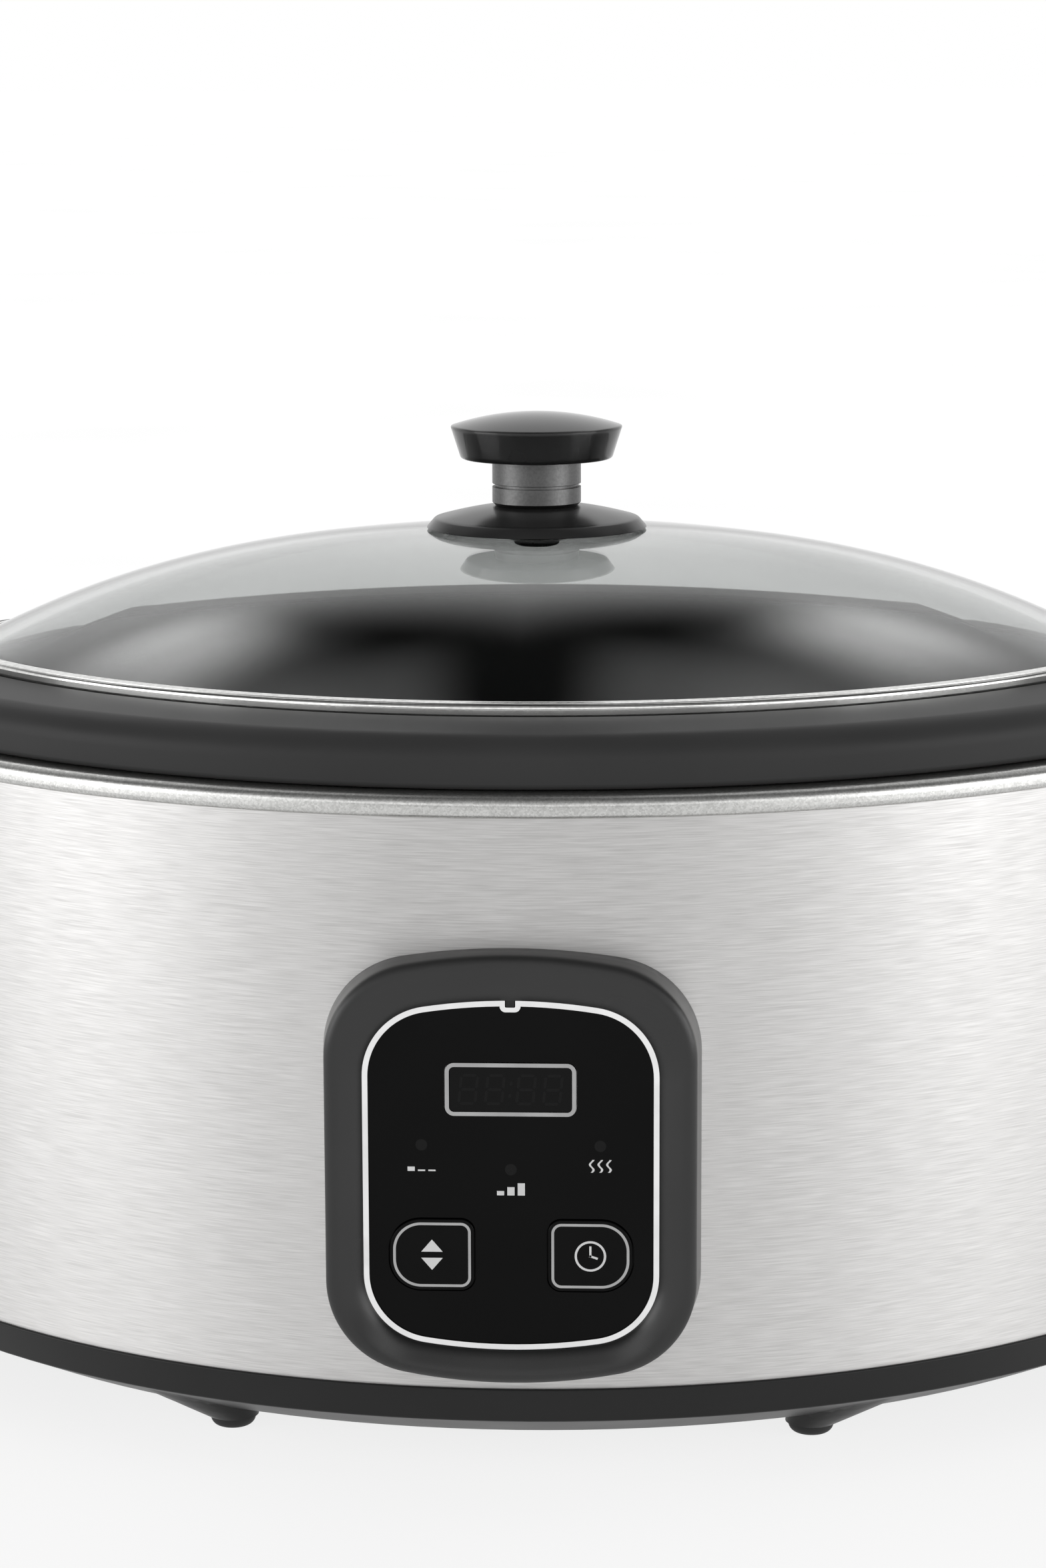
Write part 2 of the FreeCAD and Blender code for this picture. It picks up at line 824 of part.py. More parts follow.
def control_bezel():
    """Moulded frame: drafted outside, dished front, pocket for the fascia and a box through the wrap."""
    root_y = -(half_width - crest_stand)
    frame = Part.makeLoft([frame_wire(0, root_y), frame_wire(-frame_draft, crest_y)], True, True)
    crest = edges_at(frame, lambda spot: abs(spot.y - crest_y) < 0.01)
    frame = frame.makeFillet(crest_round, crest)
    frame = frame.cut(oval_plate(part_gap, 0, rim_z))
    tube = border_block(tube_wall, crest_y + crest_stand / 2, tube_y)
    frame = frame.fuse(tube)
    land = -(frame_draft + crest_land)
    middle_y = crest_y + 0.35 * dish_depth
    dish = Part.makeLoft([
        frame_wire(land - 0.2, crest_y - 1.0),
        frame_wire(land, crest_y),
        border_wire(0.4 * frame_width, middle_y),
        border_wire(part_gap, dish_y),
    ], True, True)
    pocket = border_block(part_gap, dish_y - 0.5, seat_y)
    opening = border_block(-shelf_width, seat_y - 1, shelf_y + 1)
    room = border_block(-part_gap, shelf_y, tube_y + 1)
    frame = frame.cut([dish, pocket, opening, room])
    for at_x, at_z in board_boss_spots():
        frame = frame.fuse(front_rod(fastener_head, at_x, at_z, seat_y, board_y))
    drills = []
    for at_x, at_z in board_boss_spots():
        drills.append(front_rod(fastener_radius, at_x, at_z, shelf_y, board_y))
    for at_x, at_z in bezel_screw_spots():
        wall = front_wall_y(at_x, wrap_sheet)
        drills.append(front_rod(fastener_radius, at_x, at_z, wall - fastener_grip, wall + wrap_sheet))
    tab = notch_block(tab_half_width, tab_depth, 0.3, fascia_y - trim_proud, seat_y)
    return frame.cut(drills).fuse(tab).removeSplitter()


def border_trim():
    """Bright line round the fascia with a small bight at the top that goes round the frame's tab."""
    front = fascia_y - trim_proud
    ring = border_block(0, front, seat_y).cut(border_block(-border_line, front - 1, seat_y + 1))
    bight = notch_block(notch_half_width, notch_depth, 1.3, front, seat_y)
    bight = bight.common(border_block(0, front, seat_y))
    slot = notch_block(tab_half_width + part_gap, tab_depth + part_gap, 0.3, front - 1, seat_y + 1)
    return ring.fuse(bight).cut(slot).removeSplitter()


def key_outline(side, grow, front, back):
    """Block with a key's outline: round towards the outside of the panel, squarer towards the middle."""
    outer = key_round_corner + grow
    inner = key_square_corner + grow
    left, right = (outer, inner) if side < 0 else (inner, outer)
    return front_block(key_half_width + grow, key_half_height + grow, left, right,
                       side * key_side, key_z, front, back)


def display_block(grow, front, back):
    """Block with the outline of the display window."""
    corner = display_corner + grow
    return front_block(display_half_width + grow, display_half_height + grow, corner, corner,
                       0, display_z, front, back)


def control_fascia():
    """Gloss black plate inside the border, open for the display and the two keys."""
    plate = border_block(-border_line - part_gap, fascia_y, seat_y)
    cuts = [notch_block(notch_half_width + part_gap, notch_depth + part_gap, 1.3, fascia_y - 1, seat_y + 1)]
    cuts.append(display_block(part_gap, fascia_y - 1, seat_y + 1))
    for side in (-1, 1):
        cuts.append(key_outline(side, slide_gap, fascia_y - 1, seat_y + 1))
    return plate.cut(cuts)


def display_trim():
    """Bright frame of the display window, held by a lip behind the fascia."""
    front = fascia_y - trim_proud
    frame = display_block(0, front, seat_y + part_gap)
    lip = display_block(2 * display_line, seat_y + part_gap, seat_y + part_gap + display_line)
    hole = display_block(-display_line, front - 1, seat_y + 2 * display_line)
    return frame.fuse(lip).cut(hole).removeSplitter()


def display_lens():
    """Dark clear window in the display frame."""
    front = fascia_y - trim_proud / 2
    return display_block(-display_line - part_gap, front, front + lens_thickness)


def key_cap(side):
    """Key that slides through the fascia, with a lip behind it and a short push rod."""
    front = fascia_y - key_proud
    lip_y = seat_y + slide_gap
    block = key_outline(side, 0, front, lip_y)
    rim = edges_at(block, lambda spot: abs(spot.y - front) < 0.01)
    block = block.makeFillet(0.25, rim)
    lip = key_outline(side, key_lip, lip_y, lip_y + key_lip_thickness)
    groove = key_outline(side, -key_line, front - 1, front + key_proud)
    face = key_outline(side, -2 * key_line, front - 1, front + 2)
    rod_end = board_y - switch_height - plunger_height - key_travel - slide_gap
    rod = front_rod(plunger_radius, side * key_side, key_z, lip_y, rod_end)
    recess = groove.cut(face)
    return join([block, lip, rod]).cut(recess)


def key_trim(side):
    """Bright line let into the face of a key."""
    front = fascia_y - key_proud
    ring = key_outline(side, -key_line - 0.05, front, front + key_proud)
    return ring.cut(key_outline(side, 0.05 - 2 * key_line, front - 1, front + 2))


def control_board():
    """Circuit board behind the fascia, screwed to the frame's bosses."""
    board = border_block(-2 * part_gap - 0.5, board_y, board_y + board_thickness)
    holes = [front_rod(fastener_radius + part_gap, at_x, at_z, board_y - 1, board_y + 3)
             for at_x, at_z in board_boss_spots()]
    return board.cut(holes)


def board_screws():
    """Screws through the control board."""
    screws = []
    for at_x, at_z in board_boss_spots():
        back = board_y + board_thickness
        shank = front_rod(fastener_radius - part_gap, at_x, at_z, shelf_y + part_gap, back)
        head = front_rod(fastener_head, at_x, at_z, back, back + fastener_head_height)
        screws.append(shank.fuse(head))
    return Part.makeCompound(screws)


def bezel_screws():
    """Screws from behind the wrap into the panel frame."""
    screws = []
    for at_x, at_z in bezel_screw_spots():
        wall = front_wall_y(at_x, wrap_sheet)
        seat = front_wall_y(abs(at_x) + fastener_head, wrap_sheet) + 0.05
        shank = front_rod(fastener_radius - part_gap, at_x, at_z, wall - fastener_grip + part_gap, seat)
        head = front_rod(fastener_head, at_x, at_z, seat, seat + fastener_head_height)
        screws.append(shank.fuse(head))
    return Part.makeCompound(screws)


def display_module():
    """Digit block on the board behind the window."""
    front = fascia_y + lens_thickness + 2 * part_gap
    return display_block(-display_line - 2 * part_gap, front, board_y)


def indicator_leds():
    """Three small lamps on the board."""
    lamps = []
    for side in (-1, 0, 1):
        at_z = border_z + lamp_up - (lamp_drop if side == 0 else 0)
        tip = shelf_y
        lamp = front_rod(lamp_radius, side * lamp_side, at_z, tip, board_y)
        nose = edges_at(lamp, lambda spot: abs(spot.y - tip) < 0.01)
        lamps.append(lamp.makeFillet(0.9 * lamp_radius, nose))
    return Part.makeCompound(lamps)


def tact_switches():
    """One small switch on the board behind each key."""
    switches = []
    for side in (-1, 1):
        body_y = board_y - switch_height
        body = front_block(switch_half, switch_half, 0.3, 0.3, side * key_side, key_z, body_y, board_y)
        plunger = front_rod(plunger_radius, side * key_side, key_z, body_y - plunger_height, body_y)
        switches.append(body.fuse(plunger))
    return Part.makeCompound(switches)


# Handles


def right_handle():
    """Loop handle on the right end: two legs on the wrap and a curved grip with a finger gap."""
    low = handle_level() - handle_height / 2
    inner = end_radius + part_gap
    gap = end_radius + handle_reach - handle_grip
    outer = end_radius + handle_reach

    def at(radius, angle):
        ray = math.radians(angle)
        return V(end_centre + radius * math.cos(ray), radius * math.sin(ray), low)

    def arc(radius, start, stop):
        middle = (start + stop) / 2
        return Part.Arc(at(radius, start), at(radius, middle), at(radius, stop)).toShape()

    def spoke(first, last, angle):
        return Part.LineSegment(at(first, angle), at(last, angle)).toShape()

    wide = handle_half_angle
    slim = handle_gap_angle
    edges = [
        spoke(inner, outer, -wide), arc(outer, -wide, wide), spoke(outer, inner, wide),
        arc(inner, wide, slim), spoke(inner, gap, slim), arc(gap, slim, -slim),
        spoke(gap, inner, -slim), arc(inner, -slim, -wide),
    ]
    solid = Part.Face(Part.Wire(edges)).extrude(V(0, 0, handle_height))

    def beyond(edge, radius):
        spot = edge.CenterOfMass
        return math.hypot(spot.x - end_centre, spot.y) > radius

    uprights = [edge for edge in solid.Edges if edge.Length < handle_height + 0.01
                and edge.tangentAt(0).isParallel(UP, 0.01) and beyond(edge, inner + 1)]
    solid = solid.makeFillet(handle_corner, uprights)
    rims = [edge for edge in solid.Edges if beyond(edge, inner + 1)
            and (abs(edge.CenterOfMass.z - low) < 0.01 or abs(edge.CenterOfMass.z - low - handle_height) < 0.01)]
    solid = solid.makeFillet(handle_round, rims)
    drills = [handle_rod(fastener_radius, 0, fastener_grip, angle) for angle in handle_screw_spots()]
    return solid.cut(drills)


def handle_screws():
    """Screws from inside the wrap into the legs of both handles."""
    screws = []
    for angle in handle_screw_spots():
        seat = -wrap_sheet - part_gap
        shank = handle_rod(fastener_radius - part_gap, seat, fastener_grip - part_gap, angle)
        head = handle_rod(fastener_head, seat - fastener_head_height, seat, angle)
        screws += mirrored_pair(shank.fuse(head))
    return Part.makeCompound(screws)


# Inside the base


def tie_posts():
    """Four posts that carry the well on the base pan."""
    height = well_floor_z - well_sheet - pan_floor_z
    posts = []
    for spot in post_spots():
        post = Part.makeCylinder(post_radius, height, spot + V(0, 0, pan_floor_z))
        bore = Part.makeCylinder(fastener_radius, fastener_grip, spot + V(0, 0, pan_floor_z))
        posts.append(post.cut(bore))
    return Part.makeCompound(posts)


def base_screws():
    """Screws up through the pan into the posts."""
    screws = []
    for spot in post_spots():
        head = Part.makeCylinder(fastener_head, fastener_head_height, spot + V(0, 0, floor_z))
        shank = Part.makeCylinder(fastener_radius - part_gap, pan_wall + fastener_grip - part_gap,
                                  spot + V(0, 0, floor_z))
        screws.append(head.fuse(shank))
    return Part.makeCompound(screws)


def well_offset_at(level):
    """Offset of the outside of the well's wall at a level."""
    share = (level - well_floor_z) / (rim_z - well_floor_z)
    return well_foot_offset + share * (well_top_offset - well_foot_offset) + well_sheet


def heater_band():
    """Flat heating band round the well, split at the back."""
    low = well_floor_z + heater_up
    high = low + heater_height
    band = oval_sweep([
        (well_offset_at(low) + part_gap, low, 0),
        (well_offset_at(low) + part_gap + heater_sheet, low, 0),
        (well_offset_at(high) + part_gap + heater_sheet, high, 0),
        (well_offset_at(high) + part_gap, high, 0),
    ])
    split = Part.makeBox(heater_split, half_width, heater_height + 2, V(-heater_split / 2, 0, low - 1))
    return band.cut(split)


def temperature_sensor():
    """Round sensor pressed against the underside of the well."""
    top = well_floor_z - well_sheet
    return turned([
        (0, top - sensor_height, 0),
        (0.5 * sensor_radius, top - sensor_height, 0),
        (0.5 * sensor_radius, top - 0.5 * sensor_height, 0),
        (sensor_radius, top - 0.5 * sensor_height, 0.4),
        (sensor_radius, top, 0),
        (0, top, 0),
    ])


def thermal_fuse():
    """Thermal fuse in its sleeve, clipped under the well."""
    level = well_floor_z - well_sheet - fuse_radius
    rod = Part.makeCylinder(fuse_radius, fuse_length, V(fuse_offset, -fuse_length / 2, level), BACK)
    clip = Part.makeBox(2 * fuse_radius, 0.5 * fuse_length, fuse_radius,
                        V(fuse_offset - fuse_radius, -fuse_length / 4, level))
    return rod.fuse(clip).removeSplitter()


def power_board():
    """Power board on short posts at the back of the pan."""
    level = pan_floor_z + power_rise
    board = Part.makeBox(2 * power_half_length, 2 * power_half_width, board_thickness,
                         V(-power_half_length, power_back - power_half_width, level))
    holes = [Part.makeCylinder(fastener_radius + part_gap, 4 * board_thickness, spot + V(0, 0, level - 1))
             for spot in power_post_spots()]
    return board.cut(holes)


def power_board_screws():
    """Screws through the power board."""
    screws = []
    level = pan_floor_z + power_rise + board_thickness
    for spot in power_post_spots():
        head = Part.makeCylinder(fastener_head, fastener_head_height, spot + V(0, 0, level))
        shank = Part.makeCylinder(fastener_radius - part_gap, power_rise + board_thickness - part_gap,
                                  spot + V(0, 0, pan_floor_z + part_gap))
        screws.append(head.fuse(shank))
    return Part.makeCompound(screws)


def board_block(length, width, height, at_x):
    """Block that stands on the power board."""
    level = pan_floor_z + power_rise + board_thickness
    block = Part.makeBox(length, width, height, V(at_x - length / 2, power_back - width / 2, level))
    uprights = [edge for edge in block.Edges if edge.tangentAt(0).isParallel(UP, 0.01)]
    return block.makeFillet(0.8, uprights)


def relay():
    """Relay that switches the heating band."""
    return board_block(relay_length, relay_width, relay_height, -relay_length)


def terminal_block():
    """Screw terminals for the mains wires."""
    return board_block(block_length, block_width, block_height, block_length / 2 + fastener_head)


def cord_gland():
    """Round bushing in the back of the wrap with a clear bore for the mains cord."""
    front = half_width - gland_tail
    back = half_width + gland_stand
    bushing = turned([
        (gland_bore, front, 0),
        (gland_neck, front, 0.6),
        (gland_neck, half_width + part_gap, 0),
        (gland_flange, half_width + part_gap, 0),
        (gland_flange, back, 1.6),
        (gland_bore, back, 0),
    ])
    bushing.rotate(V(0, 0, 0), V(1, 0, 0), -90)
    bushing.translate(V(0, 0, gland_level()))
    return bushing


def save(name, shape):
    """Write one piece."""
    shape.exportStep("parts/" + name + ".step")


def main():
    """Build and write every piece."""
    os.makedirs("parts", exist_ok=True)
    makers = [
        base_pan, outer_wrap, heating_well, crock, lid_glass, lid_rim, knob_gasket, knob_skirt,
        knob_collar, knob_sleeve, knob_cap, knob_washer, knob_screw, control_bezel, border_trim,
        control_fascia, display_trim, display_lens, control_board, board_screws, bezel_screws,
        display_module, indicator_leds, tact_switches, handle_screws, tie_posts, base_screws,
        heater_band, temperature_sensor, thermal_fuse, power_board, power_board_screws, relay,
        terminal_block, cord_gland,
    ]
    for maker in makers:
        save(maker.__name__, maker())
    corners = ("front_right", "front_left", "back_right", "back_left")
    for corner, foot in zip(corners, in_four_corners(rubber_foot())):
        save("foot_" + corner, foot)
    for side, handle in zip(("right", "left"), mirrored_pair(right_handle())):
        save("handle_" + side, handle)
    for side, name in ((-1, "key_select"), (1, "key_time")):
        save(name, key_cap(side))
        save(name + "_trim", key_trim(side))


main()
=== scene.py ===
import json
import logging
import math
from dataclasses import dataclass, field
from enum import Enum
from typing import Any, Dict, Iterable, List, Optional, Sequence, Tuple, Union

import bmesh
import bpy
from mathutils import Matrix, Vector

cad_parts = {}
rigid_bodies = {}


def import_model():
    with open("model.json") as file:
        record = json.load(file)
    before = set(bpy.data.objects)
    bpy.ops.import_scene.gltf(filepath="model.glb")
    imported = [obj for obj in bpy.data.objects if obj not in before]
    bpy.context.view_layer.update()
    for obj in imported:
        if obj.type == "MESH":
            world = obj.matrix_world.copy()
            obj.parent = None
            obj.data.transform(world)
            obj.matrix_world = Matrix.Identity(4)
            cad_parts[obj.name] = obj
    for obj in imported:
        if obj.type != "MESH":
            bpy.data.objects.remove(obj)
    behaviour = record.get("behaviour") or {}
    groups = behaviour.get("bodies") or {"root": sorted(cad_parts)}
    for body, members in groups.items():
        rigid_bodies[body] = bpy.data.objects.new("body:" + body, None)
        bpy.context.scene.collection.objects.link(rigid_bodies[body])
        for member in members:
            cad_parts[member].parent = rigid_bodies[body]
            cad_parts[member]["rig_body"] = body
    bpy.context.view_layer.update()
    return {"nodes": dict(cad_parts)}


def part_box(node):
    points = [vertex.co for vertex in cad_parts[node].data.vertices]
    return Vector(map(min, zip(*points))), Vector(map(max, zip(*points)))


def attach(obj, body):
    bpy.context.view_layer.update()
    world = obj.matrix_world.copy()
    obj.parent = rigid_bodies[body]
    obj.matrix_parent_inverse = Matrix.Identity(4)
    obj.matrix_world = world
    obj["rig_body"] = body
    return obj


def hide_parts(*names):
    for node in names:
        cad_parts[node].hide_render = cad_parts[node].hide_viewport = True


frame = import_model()

# Dressed model of an oval countertop slow cooker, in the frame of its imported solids.
# Sizes are written in millimetres and turned into metres where a mesh is made.

MM = 0.001
# Points closer than this, in metres, are one point.
MERGE = 1e-6
# Angles in degrees above which an edge stays crisp: on any piece, and on one drawn ring by ring.
CRISP = 32.0
CRISP_RINGS = 50.0
# Most values of a noise lie between these, and those of a soft one between the wider pair.
NOISE_LOW, NOISE_HIGH = 0.3, 0.7
PATCH_LOW, PATCH_HIGH = 0.25, 0.75
LOG = logging.getLogger("slow_cooker")

Point = Tuple[float, float]


class BodyName(Enum):
    """Rigid bodies of the frame that new pieces ride on."""

    HOUSING = "housing"
    LID = "lid"
    SELECT_KEY = "select_key"
    TIME_KEY = "time_key"


# ---------------------------------------------------------------- node helpers


def linear(code: str) -> Tuple[float, float, float, float]:
    """Turn an sRGB hex colour into linear RGBA.

    Args:
        code: Colour as "#rrggbb".

    Returns:
        Linear red, green, blue and an alpha of one.
    """
    parts = []
    for start in (1, 3, 5):
        share = int(code[start:start + 2], 16) / 255
        parts.append(share / 12.92 if share <= 0.04045 else ((share + 0.055) / 1.055) ** 2.4)
    return (parts[0], parts[1], parts[2], 1.0)


def add(tree: bpy.types.NodeTree, kind: str,
        inputs: Optional[Dict[Union[str, int], Any]] = None,
        stops: Sequence[Tuple[float, str]] = (), **settings: Any) -> bpy.types.Node:
    """Add a node, set its options and fill or link its inputs.

    Args:
        tree: Node tree that takes the node.
        kind: Blender's type name of the node.
        inputs: Value or output socket for each input, by name or place.
        stops: Place and hex colour of each stop, where the node has a colour ramp.
        settings: Options of the node itself.

    Returns:
        The new node.
    """
    node = tree.nodes.new(kind)
    for name, value in settings.items():
        setattr(node, name, value)
    for key, value in (inputs or {}).items():
        if isinstance(value, bpy.types.NodeSocket):
            tree.links.new(value, node.inputs[key])
        else:
            node.inputs[key].default_value = value
    for band, (place, code) in zip(node.color_ramp.elements if stops else (), stops):
        band.position = place
        band.color = linear(code)
    return node


# ---------------------------------------------------------------- finishes


@dataclass(frozen=True)
class Finish:
    """A named surface that carries the name of one material slot of the record."""

    name: str
    slot: str

    def material(self) -> bpy.types.Material:
        """Make the material once and hand it out again later.

        Returns:
            The material of this finish.
        """
        made = bpy.data.materials.get(self.name)
        if made is None:
            made = bpy.data.materials.new(self.name)
            made.use_nodes = True
            made.node_tree.nodes.clear()
            place = add(made.node_tree, "ShaderNodeTexCoord").outputs["Object"]
            surface = self.shade(made.node_tree, place)
            add(made.node_tree, "ShaderNodeOutputMaterial", {"Surface": surface})
        return made

    def shade(self, tree: bpy.types.NodeTree, place: bpy.types.NodeSocket) -> bpy.types.NodeSocket:
        """Build the surface and return its shader socket."""
        raise NotImplementedError


@dataclass(frozen=True)
class Moulded(Finish):
    """Opaque moulded, glazed or printed stuff: two close tones, fine grain and uneven gloss."""

    tone: str = "#202020"
    deep: str = "#181818"
    smooth: float = 0.2
    rough: float = 0.3
    grain_mm: float = 0.6
    depth_mm: float = 0.004
    patch_mm: float = 20.0
    ior: float = 1.5
    shine: float = 0.5
    edge_mm: float = 0.0
    edge_samples: int = 8

    def shade(self, tree: bpy.types.NodeTree, place: bpy.types.NodeSocket) -> bpy.types.NodeSocket:
        """Soft patches steer tone and gloss, and a fine grain lifts the surface.

        Args:
            tree: Node tree of the material.
            place: Object coordinates.

        Returns:
            Shader socket of the surface.
        """
        patch = add(tree, "ShaderNodeTexNoise",
                    {"Vector": place, "Scale": 1 / (self.patch_mm * MM), "Detail": 1.0})
        grain = add(tree, "ShaderNodeTexNoise",
                    {"Vector": place, "Scale": 1 / (self.grain_mm * MM), "Detail": 2.0})
        colour = add(tree, "ShaderNodeValToRGB", {"Fac": patch.outputs["Fac"]},
                     stops=((PATCH_LOW, self.deep), (PATCH_HIGH, self.tone))).outputs["Color"]
        gloss = add(tree, "ShaderNodeMapRange",
                    {"Value": patch.outputs["Fac"], "From Min": PATCH_LOW, "From Max": PATCH_HIGH,
                     "To Min": self.smooth, "To Max": self.rough})
        bump = add(tree, "ShaderNodeBump",
                   {"Height": grain.outputs["Fac"], "Distance": self.depth_mm * MM})
        if self.edge_mm:
            soft = add(tree, "ShaderNodeBevel", {"Radius": self.edge_mm * MM},
                       samples=self.edge_samples)
            tree.links.new(soft.outputs["Normal"], bump.inputs["Normal"])
        return add(tree, "ShaderNodeBsdfPrincipled",
                   {"Base Color": colour, "Roughness": gloss.outputs["Result"],
                    "Normal": bump.outputs["Normal"], "IOR": self.ior,
                    "Specular IOR Level": self.shine}).outputs["BSDF"]


@dataclass(frozen=True)
class BrushedSteel(Finish):
    """Sheet steel brushed round the body: level hairlines that spread highlights up and down."""

    bright: str = "#d2d1d0"
    dim: str = "#c0bfbe"
    streak_mm: float = 9.0
    # Real hairlines are too fine to show, so they are drawn about twice as coarse.
    line_mm: float = 0.22
    roughness: float = 0.46
    swing: float = 0.06
    lift: float = 0.5
    depth_mm: float = 0.003
    spread: float = 0.6
    quarter_turn: float = 0.25

    def shade(self, tree: bpy.types.NodeTree, place: bpy.types.NodeSocket) -> bpy.types.NodeSocket:
        """Noise stretched along the level gives the hairlines in tone and gloss.

        Args:
            tree: Node tree of the material.
            place: Object coordinates.

        Returns:
            Shader socket of the surface.
        """
        long, thin = 1 / (self.streak_mm * MM), 1 / (self.line_mm * MM)
        fine = add(tree, "ShaderNodeMapping", {"Vector": place, "Scale": (long, long, thin)})
        hair = add(tree, "ShaderNodeTexNoise",
                   {"Vector": fine.outputs["Vector"], "Scale": 1.0, "Detail": 4.0})
        colour = add(tree, "ShaderNodeValToRGB", {"Fac": hair.outputs["Fac"]},
                     stops=((NOISE_LOW, self.dim), (NOISE_HIGH, self.bright))).outputs["Color"]
        gloss = add(tree, "ShaderNodeMapRange",
                    {"Value": hair.outputs["Fac"], "From Min": NOISE_LOW, "From Max": NOISE_HIGH,
                     "To Min": self.roughness + self.swing,
                     "To Max": self.roughness - self.swing})
        bump = add(tree, "ShaderNodeBump",
                   {"Height": hair.outputs["Fac"], "Strength": self.lift,
                    "Distance": self.depth_mm * MM})
        grain = add(tree, "ShaderNodeTangent", direction_type="RADIAL", axis="Z")
        return add(tree, "ShaderNodeBsdfPrincipled",
                   {"Base Color": colour, "Metallic": 1.0, "Roughness": gloss.outputs["Result"],
                    "Anisotropic": self.spread, "Anisotropic Rotation": self.quarter_turn,
                    "Tangent": grain.outputs["Tangent"],
                    "Normal": bump.outputs["Normal"]}).outputs["BSDF"]


@dataclass(frozen=True)
class Metal(Finish):
    """Plated or turned metal with a faint cloud in its tone and gloss."""

    bright: str = "#d8d8d6"
    dim: str = "#c2c2c0"
    smooth: float = 0.1
    rough: float = 0.18
    grain_mm: float = 1.2

    def shade(self, tree: bpy.types.NodeTree, place: bpy.types.NodeSocket) -> bpy.types.NodeSocket:
        """One cloud steers tone and gloss together.

        Args:
            tree: Node tree of the material.
            place: Object coordinates.

        Returns:
            Shader socket of the surface.
        """
        cloud = add(tree, "ShaderNodeTexNoise",
                    {"Vector": place, "Scale": 1 / (self.grain_mm * MM), "Detail": 3.0})
        colour = add(tree, "ShaderNodeValToRGB", {"Fac": cloud.outputs["Fac"]},
                     stops=((NOISE_LOW, self.dim), (NOISE_HIGH, self.bright))).outputs["Color"]
        gloss = add(tree, "ShaderNodeMapRange",
                    {"Value": cloud.outputs["Fac"], "From Min": NOISE_LOW, "From Max": NOISE_HIGH,
                     "To Min": self.rough, "To Max": self.smooth})
        return add(tree, "ShaderNodeBsdfPrincipled",
                   {"Base Color": colour, "Metallic": 1.0,
                    "Roughness": gloss.outputs["Result"]}).outputs["BSDF"]


@dataclass(frozen=True)
class Spangled(Finish):
    """Hot-dipped aluminised sheet: small frosty crystals that each catch the light differently."""

    bright: str = "#d0d0ce"
    dim: str = "#b6b6b4"
    cell_mm: float = 0.4
    smooth: float = 0.28
    rough: float = 0.36
    tilt: float = 0.2
    depth_mm: float = 0.005

    def shade(self, tree: bpy.types.NodeTree, place: bpy.types.NodeSocket) -> bpy.types.NodeSocket:
        """Cells give each crystal its own tone, gloss and tilt.

        Args:
            tree: Node tree of the material.
            place: Object coordinates.

        Returns:
            Shader socket of the surface.
        """
        cells = add(tree, "ShaderNodeTexVoronoi",
                    {"Vector": place, "Scale": 1 / (self.cell_mm * MM)})
        chance = add(tree, "ShaderNodeSeparateColor", {"Color": cells.outputs["Color"]})
        colour = add(tree, "ShaderNodeValToRGB", {"Fac": chance.outputs["Red"]},
                     stops=((0.0, self.dim), (1.0, self.bright))).outputs["Color"]
        gloss = add(tree, "ShaderNodeMapRange",
                    {"Value": chance.outputs["Green"], "To Min": self.smooth, "To Max": self.rough})
        bump = add(tree, "ShaderNodeBump",
                   {"Height": chance.outputs["Blue"], "Strength": self.tilt,
                    "Distance": self.depth_mm * MM})
        return add(tree, "ShaderNodeBsdfPrincipled",
                   {"Base Color": colour, "Metallic": 1.0, "Roughness": gloss.outputs["Result"],
                    "Normal": bump.outputs["Normal"]}).outputs["BSDF"]


@dataclass(frozen=True)
class ClearGlass(Finish):
    """Clear pressed glass whose tint and polish vary slowly."""

    tint: str = "#d6d8d7"
    pale: str = "#dadcdb"
    ripple_mm: float = 45.0
    haze: float = 0.01
    ior: float = 1.5

    def shade(self, tree: bpy.types.NodeTree, place: bpy.types.NodeSocket) -> bpy.types.NodeSocket:
        """Full transmission with a tint and a hair of roughness that vary slowly.

        Args:
            tree: Node tree of the material.
            place: Object coordinates.

        Returns:
            Shader socket of the surface.
        """
        wave = add(tree, "ShaderNodeTexNoise",
                   {"Vector": place, "Scale": 1 / (self.ripple_mm * MM), "Detail": 1.0})
        colour = add(tree, "ShaderNodeValToRGB", {"Fac": wave.outputs["Fac"]},
                     stops=((NOISE_LOW, self.tint), (NOISE_HIGH, self.pale))).outputs["Color"]
        gloss = add(tree, "ShaderNodeMapRange",
                    {"Value": wave.outputs["Fac"], "To Min": 0.0, "To Max": self.haze})
        return add(tree, "ShaderNodeBsdfPrincipled",
                   {"Base Color": colour, "Roughness": gloss.outputs["Result"], "IOR": self.ior,
                    "Transmission Weight": 1.0}).outputs["BSDF"]


# Brushed stainless sheet: pale grey, level hairlines, highlights smeared upwards.
STEEL = BrushedSteel("brushed_stainless_steel", "wrap_steel")
# Aluminised sheet of the heating well: frosty sparkle along its rolled edge.
WELL = Spangled("aluminised_sheet", "well_metal")
# Black glaze over stoneware: a dark even sheen with a slow unevenness.
GLAZE = Moulded("black_glazed_stoneware", "crock_glaze", tone="#3a3a3a", deep="#373737",
                smooth=0.38, rough=0.44, grain_mm=4.0, depth_mm=0.001, patch_mm=30.0, shine=0.1)
# Tempered lid glass: clear and faintly grey, with clean reflections.
GLASS = ClearGlass("clear_lid_glass", "lid_clear")
# Bright rolled stainless channel round the glass: a thin white line.
RIM = Metal("polished_stainless_channel", "lid_metal", bright="#e4e4e2", dim="#cfcfcd",
            smooth=0.08, rough=0.16)
# Gloss phenolic of the knob's cap: black with clear highlights and a softened edge.
PHENOLIC = Moulded("gloss_black_phenolic", "knob_black", tone="#1f1f1f", deep="#1b1b1b",
                   smooth=0.1, rough=0.14, grain_mm=1.5, depth_mm=0.001, patch_mm=12.0,
                   shine=0.45, edge_mm=1.2)
